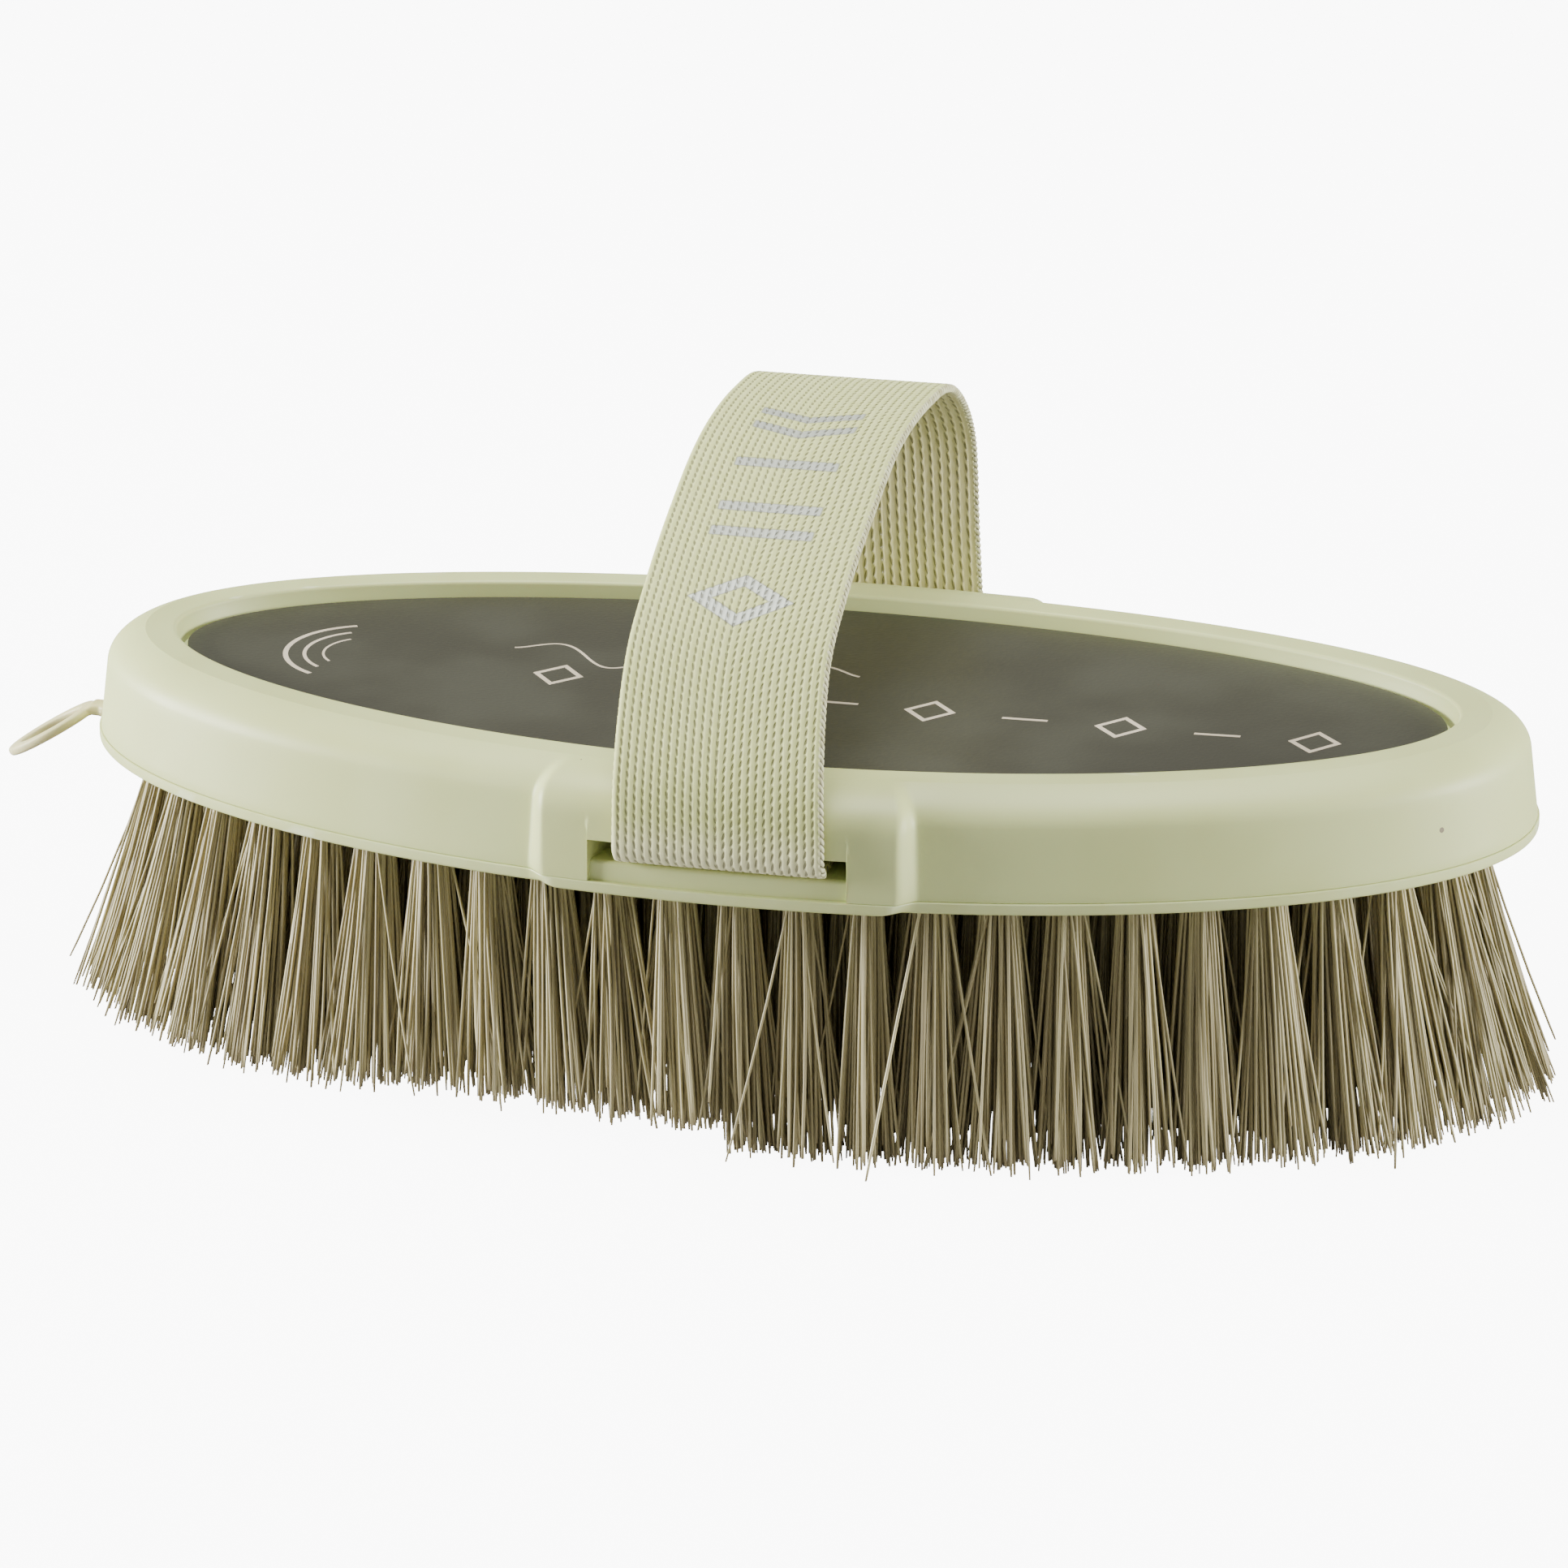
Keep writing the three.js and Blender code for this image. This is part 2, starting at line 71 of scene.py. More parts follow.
STITCH_STEP = 0.37  # how far a rib's stitches lie behind its neighbour's, in stitches
STITCH_SLANT = 0.3  # ribs that a gap leans over in one stitch
GAP_WIDTH = 0.15  # half the width of a gap between stitches, in ribs
GAP_LENGTH = 0.42  # half its length, in stitches


class Body(Enum):
    """The CAD bodies that the pieces ride on."""

    BRUSH = "brush"
    LOOP = "loop"


class Slot(Enum):
    """The record's material slots."""

    CREAM = "cream_plastic"
    LOOP = "loop_plastic"
    INLAY = "inlay"
    WEBBING = "webbing"
    BRISTLE = "bristle"


class Section(Enum):
    """The two cross-sections that the moulded rim blends between."""

    WALL = "wall"
    PAD = "pad"


# ---------------------------------------------------------------- meshes


def make_object(name: str, points: np.ndarray, faces: list) -> bpy.types.Object:
    """Makes a mesh object in the scene.

    Args:
        name: the piece's name.
        points: vertices, one row of x, y, z each.
        faces: vertex numbers of each face.

    Returns:
        The new object.
    """
    mesh = bpy.data.meshes.new(name)
    mesh.from_pydata(np.asarray(points, float).reshape(-1, 3).tolist(), [], faces)
    made = bpy.data.objects.new(name, mesh)
    bpy.context.scene.collection.objects.link(made)
    return made


def grid_faces(rows: int, columns: int, round_columns: bool, first: int = 0) -> list:
    """Lists the quads of a grid of vertices that is stored row by row.

    Args:
        rows: how many rows of vertices there are.
        columns: how many vertices a row has.
        round_columns: whether the last column joins the first.
        first: number of the first vertex.

    Returns:
        The quads, as vertex numbers.
    """
    row, column = np.meshgrid(np.arange(rows - 1), np.arange(columns - (not round_columns)))
    row, column = row.T.ravel(), column.T.ravel()
    after = (column + 1) % columns
    quads = [row * columns + column, row * columns + after]
    quads += [(row + 1) * columns + after, (row + 1) * columns + column]
    return (np.stack(quads, 1) + first).tolist()


def tube_faces(rings: int, around: int, first: int = 0, closed: bool = False) -> list:
    """Lists the faces of a tube that is stored ring by ring.

    Args:
        rings: how many rings it has.
        around: how many vertices a ring has.
        first: number of the first vertex.
        closed: whether the last ring joins the first; if not, both ends are capped.

    Returns:
        The faces, as vertex numbers.
    """
    start, last = (np.arange(around) + n for n in (first, first + (rings - 1) * around))
    if closed:
        ends = np.stack([last, np.roll(last, -1), np.roll(start, -1), start], 1).tolist()
    else:
        ends = [start.tolist(), last[::-1].tolist()]
    return grid_faces(rings, around, True, first) + ends


def tidy_mesh(piece: bpy.types.Object, crease: float) -> None:
    """Merges points that coincide, turns the faces outward and shades the piece smooth.

    Args:
        piece: the object.
        crease: edges sharper than this angle, in degrees, stay sharp.
    """
    edit = bmesh.new()
    edit.from_mesh(piece.data)
    bmesh.ops.remove_doubles(edit, verts=edit.verts, dist=MERGE_DISTANCE)
    bmesh.ops.dissolve_degenerate(edit, edges=edit.edges, dist=MERGE_DISTANCE)
    bmesh.ops.recalc_face_normals(edit, faces=edit.faces)
    edit.to_mesh(piece.data)
    edit.free()
    piece.data.shade_smooth()
    piece.data.set_sharp_from_angle(angle=math.radians(crease))


def apply_modifiers(piece: bpy.types.Object) -> None:
    """Replaces a piece's mesh with what its modifiers make of it."""
    graph = bpy.context.evaluated_depsgraph_get()
    finished = bpy.data.meshes.new_from_object(piece.evaluated_get(graph))
    piece.modifiers.clear()
    piece.data = finished


def set_values(piece: bpy.types.Object, name: str, values: np.ndarray) -> None:
    """Stores one number for each vertex, for the materials to read."""
    layer = piece.data.attributes.new(name, "FLOAT", "POINT")
    layer.data.foreach_set("value", np.asarray(values, np.float32).ravel())


def dress(
    piece: bpy.types.Object, finish: "Finish", body: Body | None = Body.BRUSH
) -> None:
    """Gives a piece its material and the body that it rides on."""
    piece.data.materials.clear()
    piece.data.materials.append(finish.material())
    if body:
        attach(piece, body.value)
    log.info("%s: %d faces", piece.name, len(piece.data.polygons))


def arc(centre: tuple, radius: float, start: float, end: float, steps: int) -> np.ndarray:
    """Points of a circular arc.

    Args:
        centre: its middle.
        radius: its radius.
        start: first angle in degrees.
        end: last angle in degrees.
        steps: how many stretches it has.

    Returns:
        The points, one row each.
    """
    angle = np.radians(np.linspace(start, end, steps + 1))
    return np.stack([centre[0] + radius * np.cos(angle), centre[1] + radius * np.sin(angle)], 1)


def bezier(controls: list, steps: int) -> np.ndarray:
    """Points of a Bezier curve of any degree, by repeated mixing of neighbours."""
    t = np.linspace(0, 1, steps + 1)[:, None, None]
    level = np.repeat(np.asarray(controls, float)[None], steps + 1, 0)
    while level.shape[1] > 1:
        level = level[:, :-1] * (1 - t) + level[:, 1:] * t
    return level[:, 0]


def line(start: tuple, end: tuple, steps: int) -> np.ndarray:
    """Points of a straight line, ends included."""
    return np.linspace(start, end, steps + 1)


# ---------------------------------------------------------------- shader nodes


class Nodes:
    """A short way to write a node tree."""

    def __init__(self, tree: bpy.types.NodeTree) -> None:
        """Starts on an empty tree."""
        self.tree = tree
        tree.nodes.clear()

    def add(self, kind: str, inputs: dict | None = None, **settings: object) -> bpy.types.Node:
        """Adds a node.

        Args:
            kind: the node's type, without the words ShaderNode.
            inputs: for each input, by name or number, a value or the output that feeds it.
            **settings: the node's own properties.

        Returns:
            The node.
        """
        node = self.tree.nodes.new(kind if kind.startswith("Node") else "ShaderNode" + kind)
        for key, value in settings.items():
            setattr(node, key, value)
        self.feed(node, inputs or {})
        return node

    def feed(self, node: bpy.types.Node, inputs: dict) -> None:
        """Sets or links inputs of a node, by name or number."""
        for key, value in inputs.items():
            if isinstance(value, bpy.types.NodeSocket):
                self.tree.links.new(value, node.inputs[key])
            else:
                node.inputs[key].default_value = value

    def shared(self, name: str, inputs: dict | None = None) -> bpy.types.NodeOutputs:
        """Adds one of the shared effects and returns its outputs."""
        return self.add("Group", inputs, node_tree=node_group(name, *EFFECTS[name])).outputs

    def bump(self, height: object, depth: float, strength: float = 1.0) -> bpy.types.NodeSocket:
        """Adds a Bump node of a real depth in metres and returns its normal."""
        inputs = {"Height": height, "Distance": depth, "Strength": strength}
        return self.add("Bump", inputs).outputs[0]

    def math(self, operation: str, *values: object) -> bpy.types.NodeSocket:
        """Adds a Math node and returns its output."""
        return self.add("Math", dict(enumerate(values)), operation=operation).outputs[0]

    def mix(self, factor: object, a: object, b: object) -> bpy.types.NodeSocket:
        """Adds a colour Mix node and returns its result."""
        return self.add("Mix", {0: factor, 6: a, 7: b}, data_type="RGBA").outputs[2]

    def ramp(self, value: bpy.types.NodeSocket, low: float, high: float) -> bpy.types.NodeSocket:
        """Spreads the stretch from low to high over 0 to 1, with soft ends."""
        inputs = {0: value, 1: low, 2: high}
        return self.add("MapRange", inputs, interpolation_type="SMOOTHSTEP").outputs[0]

    def value(self, name: str) -> bpy.types.NodeSocket:
        """Reads a number that the mesh holds for each vertex."""
        return self.add("Attribute", attribute_name=name, attribute_type="GEOMETRY").outputs["Fac"]


def node_group(name: str, build: callable, inputs: dict, outputs: tuple) -> bpy.types.NodeTree:
    """Makes a shader node group once, and finds it again after that.

    Args:
        name: the group's name.
        build: called with Nodes and the input sockets, it returns the output sockets by name.
        inputs: for each input its default number.
        outputs: names of the outputs, each a number.

    Returns:
        The group.
    """
    if name in bpy.data.node_groups:
        return bpy.data.node_groups[name]
    tree = bpy.data.node_groups.new(name, "ShaderNodeTree")
    number = {"socket_type": "NodeSocketFloat"}
    for label, default in inputs.items():
        tree.interface.new_socket(label, in_out="INPUT", **number).default_value = default
    for label in outputs:
        tree.interface.new_socket(label, in_out="OUTPUT", **number)
    nodes = Nodes(tree)
    entry = nodes.add("NodeGroupInput")
    nodes.add("NodeGroupOutput", build(nodes, entry.outputs))
    return tree


def build_grain(nodes: Nodes, given: bpy.types.NodeOutputs) -> dict:
    """Fine moulded grain with broad unevenness: a height and a soft mask."""
    place = nodes.add("TexCoord").outputs["Object"]
    fine = nodes.add("TexNoise", {"Vector": place, "Scale": given["Scale"], "Detail": 4.0})
    broad = nodes.add("TexNoise", {"Vector": place, "Scale": 45.0, "Detail": 2.0})
    height = nodes.math("MULTIPLY_ADD", broad.outputs[0], given["Broad"], fine.outputs[0])
    return {"Height": height, "Mask": nodes.ramp(broad.outputs[0], 0.35, 0.65)}


def build_wear(nodes: Nodes, given: bpy.types.NodeOutputs) -> dict:
    """A mask of the outer edges, broken up by noise."""
    pointed = nodes.add("NewGeometry").outputs["Pointiness"]
    edge = nodes.ramp(pointed, given["From"], given["To"])
    place = nodes.add("TexCoord").outputs["Object"]
    rub = nodes.add("TexNoise", {"Vector": place, "Scale": 160.0, "Detail": 3.0}).outputs[0]
    return {"Mask": nodes.math("MULTIPLY", edge, nodes.ramp(rub, 0.3, 0.65))}


def build_specks(nodes: Nodes, given: bpy.types.NodeOutputs) -> dict:
    """A mask of scattered dust specks of uneven size."""
    place = nodes.add("TexCoord").outputs["Object"]
    cells = nodes.add("TexVoronoi", {"Vector": place, "Scale": given["Scale"]})
    shade = nodes.add("SeparateColor", {0: cells.outputs["Color"]})
    size = nodes.math("MULTIPLY", nodes.ramp(shade.outputs[0], given["Rare"], 1.0), given["Size"])
    spot = nodes.math("LESS_THAN", cells.outputs["Distance"], size)
    return {"Mask": nodes.math("MULTIPLY", spot, shade.outputs[1])}


def build_yarn(nodes: Nodes, given: bpy.types.NodeOutputs) -> dict:
    """Fine fibres of a yarn: a height and a mask of its lighter fibres."""
    place = nodes.add("TexCoord").outputs["Object"]
    long = nodes.add("Mapping", {"Vector": place, "Scale": (1.0, 0.25, 0.25)}).outputs[0]
    fibre = nodes.add("TexNoise", {"Vector": long, "Scale": given["Scale"], "Detail": 3.0})
    return {"Height": fibre.outputs[0], "Mask": nodes.ramp(fibre.outputs[0], 0.3, 0.7)}


def build_herringbone(nodes: Nodes, given: bpy.types.NodeOutputs) -> dict:
    """Slanted stitches in ribs that turn over at the middle: a height and a mask of the gaps."""
    across, down = given["Across"], given["Down"]
    hand = nodes.math("SIGN", across)
    rib = nodes.math("ROUND", across)
    beside = nodes.math("SUBTRACT", across, rib)
    step = nodes.math("MULTIPLY", nodes.math("MULTIPLY", rib, hand), given["Step"])
    phase = nodes.math("SUBTRACT", down, step)
    within = nodes.math("SUBTRACT", phase, nodes.math("ROUND", phase))
    slant = nodes.math("MULTIPLY", nodes.math("MULTIPLY", within, hand), given["Slant"])
    wide = nodes.math("DIVIDE", nodes.math("SUBTRACT", beside, slant), given["Gap Width"])
    long = nodes.math("DIVIDE", within, given["Gap Length"])
    squares = nodes.math("ADD", nodes.math("POWER", wide, 2.0), nodes.math("POWER", long, 2.0))
    gap = nodes.math("SUBTRACT", 1.0, nodes.ramp(squares, 0.25, 1.3))
    groove = nodes.math("SUBTRACT", 1.0, nodes.ramp(nodes.math("ABSOLUTE", beside), 0.0, 0.3))
    height = nodes.math("MULTIPLY_ADD", groove, -0.3, nodes.math("SUBTRACT", 1.0, gap))
    return {"Height": height, "Gap": gap}


EFFECTS = {
    "moulded_grain": (build_grain, {"Scale": 900.0, "Broad": 1.0}, ("Height", "Mask")),
    "edge_wear": (build_wear, {"From": 0.52, "To": 0.6}, ("Mask",)),
    "specks": (build_specks, {"Scale": 300.0, "Rare": 0.97, "Size": 0.12}, ("Mask",)),
    "yarn_fibre": (build_yarn, {"Scale": 2500.0}, ("Height", "Mask")),
    "herringbone_weave": (
        build_herringbone,
        {
            "Across": 0.0, "Down": 0.0, "Step": STITCH_STEP, "Slant": STITCH_SLANT,
            "Gap Width": GAP_WIDTH, "Gap Length": GAP_LENGTH,
        },
        ("Height", "Gap"),
    ),
}  # for each shared effect what builds it, its inputs and its outputs


# ---------------------------------------------------------------- finishes


class Finish:
    """A material that is built once. Each kind of finish fills in its own nodes."""

    name: str

    def material(self) -> bpy.types.Material:
        """Returns the material, building it at first use."""
        if self.name in bpy.data.materials:
            return bpy.data.materials[self.name]
        made = bpy.data.materials.new(self.name)
        made.use_nodes = True
        nodes = Nodes(made.node_tree)
        shader = nodes.add("BsdfPrincipled")
        nodes.add("OutputMaterial", {"Surface": shader.outputs[0]})
        self.fill(nodes, shader)
        return made

    def fill(self, nodes: Nodes, shader: bpy.types.Node) -> None:
        """Sets the shader's sockets."""
        raise NotImplementedError


@dataclass(frozen=True)
class MouldedPlastic(Finish):
    """Satin injection-moulded plastic with grain, rubbed edges and a few specks."""

    name: str
    colour: tuple
    shade: tuple
    worn: tuple
    roughness: tuple = (0.42, 0.52)
    grain_scale: float = 900.0
    grain_depth: float = 0.02 * MM
    speck_colour: tuple = (0.20, 0.16, 0.09, 1)
    translucency: float = 0.06

    def fill(self, nodes: Nodes, shader: bpy.types.Node) -> None:
        """Sets the shader's sockets."""
        grain = nodes.shared("moulded_grain", {"Scale": self.grain_scale})
        wear, specks = nodes.shared("edge_wear"), nodes.shared("specks")
        colour = nodes.mix(grain["Mask"], self.shade, self.colour)
        colour = nodes.mix(wear["Mask"], colour, self.worn)
        colour = nodes.mix(specks["Mask"], colour, self.speck_colour)
        low, high = self.roughness
        rough = nodes.math("MULTIPLY_ADD", grain["Mask"], high - low, low)
        normal = nodes.bump(grain["Height"], self.grain_depth, 0.5)
        inputs = {"Base Color": colour, "Roughness": rough, "Normal": normal}
        inputs |= {"Subsurface Weight": self.translucency, "Subsurface Scale": 2 * MM}
        nodes.feed(shader, inputs)


@dataclass(frozen=True)
class PebbledPanel(Finish):
    """A dark satin panel with a fine pebbled grain."""

    name: str
    colour: tuple
    shade: tuple
    pebble_scale: float = 1500.0
    pebble_depth: float = 0.035 * MM
    roughness: float = 0.48

    def fill(self, nodes: Nodes, shader: bpy.types.Node) -> None:
        """Sets the shader's sockets."""
        grain = nodes.shared("moulded_grain", {"Scale": self.pebble_scale})
        specks = nodes.shared("specks")
        place = nodes.add("TexCoord").outputs["Object"]
        pebbles = nodes.add("TexVoronoi", {"Vector": place, "Scale": self.pebble_scale})
        height = nodes.math("ADD", pebbles.outputs["Distance"], grain["Height"])
        colour = nodes.mix(grain["Mask"], self.shade, self.colour)
        dust = nodes.math("MULTIPLY", specks["Mask"], 0.5)
        colour = nodes.mix(dust, colour, (0.5, 0.47, 0.38, 1))
        rough = nodes.math("MULTIPLY_ADD", grain["Mask"], 0.1, self.roughness)
        normal = nodes.bump(height, self.pebble_depth, 0.6)
        inputs = {"Base Color": colour, "Roughness": rough, "Normal": normal}
        nodes.feed(shader, inputs)


@dataclass(frozen=True)
class PalePrint(Finish):
    """Thin pale ink with uneven cover."""

    name: str
    colour: tuple
    thin: tuple

    def fill(self, nodes: Nodes, shader: bpy.types.Node) -> None:
        """Sets the shader's sockets."""
        grain = nodes.shared("moulded_grain")
        colour = nodes.mix(grain["Mask"], self.thin, self.colour)
        rough = nodes.math("MULTIPLY_ADD", grain["Mask"], 0.15, 0.4)
        nodes.feed(shader, {"Base Color": colour, "Roughness": rough})


@dataclass(frozen=True)
class Webbing(Finish):
    """Woven webbing: yarn crowns with painted shade in the gaps between stitches, a pinker foot and
    silver foil print.
    """

    name: str = "herringbone_webbing"
    crown: tuple = (0.595, 0.635, 0.225, 1)
    # colour of the painted shade in the gaps between stitches
    gap: tuple = (0.17, 0.15, 0.07, 1)
    inner: tuple = (0.52, 0.48, 0.21, 1)
    foot: tuple = (0.74, 0.70, 0.44, 1)
    foil: tuple = (0.50, 0.53, 0.45, 1)
    outline: tuple = (0.19, 0.20, 0.15, 1)
    fibre_depth: float = 0.05 * MM
    stitch_depth: float = 0.22 * MM

    def fill(self, nodes: Nodes, shader: bpy.types.Node) -> None:
        """Sets the shader's sockets."""
        fibre = nodes.shared("yarn_fibre")
        bands = {"Across": nodes.value("across"), "Down": nodes.value("down")}
        weave = nodes.shared("herringbone_weave", bands)
        inside = nodes.value("inner")
        colour = nodes.mix(inside, self.crown, self.inner)
        colour = nodes.mix(nodes.value("foot"), colour, self.foot)
        lighter = nodes.mix(0.3, colour, (0.95, 0.95, 0.62, 1))
        colour = nodes.mix(nodes.math("MULTIPLY", fibre["Mask"], 0.5), colour, lighter)
        ink = nodes.value("print")
        rim = nodes.math("SUBTRACT", nodes.ramp(ink, -0.22, -0.06), nodes.ramp(ink, 0.02, 0.12))
        cover = nodes.ramp(ink, -0.04, 0.04)
        colour = nodes.mix(cover, colour, self.foil)
        colour = nodes.mix(nodes.math("MULTIPLY", rim, 0.6), colour, self.outline)
        # painted shade: darkens the gaps between stitches towards the gap colour
        painted_gap_shade = nodes.math("MULTIPLY", weave["Gap"], 0.55)
        colour = nodes.mix(painted_gap_shade, colour, self.gap)
        rough = nodes.math("MULTIPLY_ADD", cover, -0.3, 0.68)
        rough = nodes.math("MULTIPLY_ADD", inside, -0.22, rough)
        metal = nodes.math("MULTIPLY", cover, 0.2)
        fine = nodes.bump(fibre["Height"], self.fibre_depth)
        inputs = {"Height": weave["Height"], "Distance": self.stitch_depth, "Normal": fine}
        normal = nodes.add("Bump", inputs).outputs[0]
        inputs = {"Base Color": colour, "Roughness": rough, "Metallic": metal, "Normal": normal}
        inputs |= {"Sheen Weight": 0.08, "Sheen Roughness": 0.4}
        nodes.feed(shader, inputs)


@dataclass(frozen=True)
class KnottedEdge(Finish):
    """The yarn of the webbing's knotted edge, with painted shade between its beads."""

    name: str = "edge_yarn"
    pale: tuple = (0.66, 0.66, 0.40, 1)
    shade: tuple = (0.42, 0.40, 0.20, 1)
    # colour of the painted shade between the beads
    between: tuple = (0.10, 0.09, 0.04, 1)

    def fill(self, nodes: Nodes, shader: bpy.types.Node) -> None:
        """Sets the shader's sockets."""
        fibre = nodes.shared("yarn_fibre")
        colour = nodes.mix(fibre["Mask"], self.shade, self.pale)
        # painted shade: darkens the yarn between the beads, where the bead profile is low
        colour = nodes.mix(nodes.ramp(nodes.value("bead"), 0.2, 0.6), self.between, colour)
        normal = nodes.bump(fibre["Height"], 0.05 * MM)
        nodes.feed(shader, {"Base Color": colour, "Roughness": 0.65, "Normal": normal})


@dataclass(frozen=True)
class BristleFibre(Finish):
    """Bristles of uneven tone that pale towards their cut tips."""

    name: str = "taupe_bristle"
    dark: tuple = (0.25, 0.205, 0.095, 1)
    pale: tuple = (0.55, 0.49, 0.26, 1)
    tip: tuple = (0.42, 0.34, 0.19, 1)

    def fill(self, nodes: Nodes, shader: bpy.types.Node) -> None:
        """Sets the shader's sockets."""
        colour = nodes.mix(nodes.value("tone"), self.dark, self.pale)
        end = nodes.ramp(nodes.value("along"), 0.85, 1.0)
        colour = nodes.mix(nodes.math("MULTIPLY", end, 0.6), colour, self.tip)
        rough = nodes.math("MULTIPLY_ADD", nodes.value("tone"), -0.12, 0.5)
        inputs = {"Base Color": colour, "Roughness": rough, "Subsurface Weight": 0.0}
        nodes.feed(shader, inputs)


@dataclass(frozen=True)
class PaperFloor(Finish):
    """White studio paper, which is lit from behind where it is seen directly."""

    name: str = "white_paper"
    glow: float = 9.0

    def fill(self, nodes: Nodes, shader: bpy.types.Node) -> None:
        """Sets the shader's sockets."""
        grain = nodes.shared("moulded_grain")
        colour = nodes.mix(grain["Mask"], (0.36, 0.36, 0.36, 1), (0.38, 0.38, 0.38, 1))
        seen = nodes.add("LightPath").outputs["Is Camera Ray"]
        glow = nodes.math("MULTIPLY", seen, self.glow)
        inputs = {"Base Color": colour, "Roughness": 0.6, "Emission Strength": glow}
        nodes.feed(shader, inputs | {"Emission Color": (1, 1, 1, 1)})


CREAM = MouldedPlastic(
    "cream_moulding", (0.585, 0.635, 0.275, 1), (0.56, 0.605, 0.25, 1), (0.67, 0.72, 0.42, 1)
)
LOOP_CREAM = MouldedPlastic(
    "cream_loop", (0.62, 0.58, 0.30, 1), (0.58, 0.54, 0.26, 1), (0.70, 0.67, 0.42, 1)
)
TAUPE = PebbledPanel("taupe_panel", (0.040, 0.040, 0.023, 1), (0.033, 0.032, 0.018, 1))
PALE_INK = PalePrint("pale_ink", (0.62, 0.54, 0.40, 1), (0.50, 0.43, 0.31, 1))


# ---------------------------------------------------------------- the moulded body


@dataclass(frozen=True)
class BodyLines:
    """The oval plan and the heights that the moulded pieces share.

    Heights are above the underside of the bristle plate, and insets are in from the
    outline of the body.
    """

    half_length: float
    half_width: float
    base: float
    end_rise: float = 1.6 * MM
    outline_power: float = 2.05
    rim_width: float = 11 * MM
    rim_power: float = 1.93
    draft: float = math.tan(math.radians(7.2))
    wall: float = 2.4 * MM
    gap: float = 0.3 * MM
    seam: float = 0.03 * MM
    flange_height: float = 1.6 * MM
    plate_height: float = 8.2 * MM
    land_height: float = 15.6 * MM
    recess_depth: float = 2.1 * MM
    recess_draft: float = 0.25 * MM
    inlay_thickness: float = 0.9 * MM
    deck_thickness: float = 2.2 * MM
    sill_height: float = 4.4 * MM
    slot_top: float = 7.3 * MM
    slot_half: float = 17.15 * MM
    pad_half: float = 26.15 * MM
    pad_proud: float = 1.7 * MM
    pad_end_radius: float = 3.2 * MM
    pad_corner_radius: float = 2.6 * MM

    @staticmethod
    def from_frame(pad_proud: float = 1.7 * MM) -> "BodyLines":
        """Reads the body's size from the CAD bristle plate, whose pads stand proud of it."""
        low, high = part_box("bristle_plate")
        return BodyLines(high.x, high.y - pad_proud, low.z, pad_proud=pad_proud)

    @property
    def shell_bottom(self) -> float:
        """Height of the shell's lower edge, which is pressed down on the plate."""
        return self.flange_height + self.seam

    @property
    def inlay_top(self) -> float:
        """Height of the face of the inlay."""
        return self.land_height - self.recess_depth

    @property
    def deck_top(self) -> float:
        """Height of the floor of the recess."""
        return self.inlay_top - self.inlay_thickness - self.gap

    @property
    def deck_bottom(self) -> float:
        """Height of the underside of that floor."""
        return self.deck_top - self.deck_thickness

    def wall_inset(self, height: float) -> float:
        """How far the drafted wall has moved in at a height."""
        return height * self.draft

    def plan(self, angle: np.ndarray, inset: np.ndarray) -> tuple:
        """Finds points of the plan.

        Args:
            angle: the way round the oval, in radians.
            inset: in from the outline; rim_width is the lip of the recess.

        Returns:
            x and y.
        """
        c, s = np.cos(angle), np.sin(angle)

        def oval(length: float, width: float, power: float) -> tuple:
            """One oval of the plan."""
            x = length * np.sign(c) * np.abs(c) ** (2 / power)
            return x, width * np.sign(s) * np.abs(s) ** (2 / power)

        outer = oval(self.half_length, self.half_width, self.outline_power)
        rim_half = self.half_width - self.rim_width
        rim = oval(self.half_length - self.rim_width, rim_half, self.rim_power)
        share = np.clip(inset / self.rim_width, 0, 1)
        shrink = np.minimum((self.half_width - inset) / rim_half, 1)
        slopes = [
            np.sign(along) * np.abs(along / half) ** (self.outline_power - 1) / half
            for along, half in zip(outer, (self.half_length, self.half_width))
        ]
        steep = np.hypot(*slopes)
        return tuple(
            (a + (b - a) * share) * shrink + slope / steep * np.maximum(-inset, 0)
            for a, b, slope in zip(outer, rim, slopes)
        )

    def lift(self, x: np.ndarray, height: np.ndarray) -> np.ndarray:
        """z of a height above the underside, with the ends of the body curving up."""
        z = self.base + height
        return z + self.end_rise * (x / self.half_length) ** 2 * np.clip(z / self.base, 0, 1)

    def columns(self, steps: int = 210, marks: np.ndarray | None = None) -> np.ndarray:
        """Angles round the oval, evenly spread, with more where the outline passes the marks.

        Args:
            steps: how many stretches half the oval has.
            marks: distances from the middle, along the body.

        Returns:
            The angles, in order.
        """
        half = np.linspace(0, np.pi, steps, endpoint=False)
        if marks is not None:
            turn = np.arccos((np.asarray(marks) / self.half_length) ** (self.outline_power / 2))
            extra = np.concatenate([turn, np.pi - turn])
            clear = np.abs(half[:, None] - extra).min(1) > 0.0016
            half = np.sort(np.concatenate([half[clear], extra]))
        return np.concatenate([half, half + np.pi])

    def pad_share(self, x: np.ndarray, height: np.ndarray) -> np.ndarray:
        """1 on a strap pad and 0 past its rounded ends and lower corners."""
        radius = self.pad_corner_radius
        short = np.clip(radius - height, 0, radius)
        reach = self.pad_half + 0.3 * MM - radius + np.sqrt(radius**2 - short**2)
        past = np.clip((np.abs(x) - reach) / self.pad_end_radius + 1, 0, 1)
        return 0.5 + 0.5 * np.cos(np.pi * past)

    def rim_columns(self) -> np.ndarray:
        """Columns that catch the ends of the pads and the slots."""
        slot_edge = 0.02 * MM
        rounded = np.linspace(self.pad_half - 5.6 * MM, self.pad_half + 0.3 * MM, 24)
        slot = [self.slot_half - slot_edge, self.slot_half + slot_edge]
        beside = [self.slot_half - 0.4 * MM, self.slot_half + 0.4 * MM, self.pad_half + 0.8 * MM]
        return self.columns(marks=np.concatenate([rounded, slot, beside]))

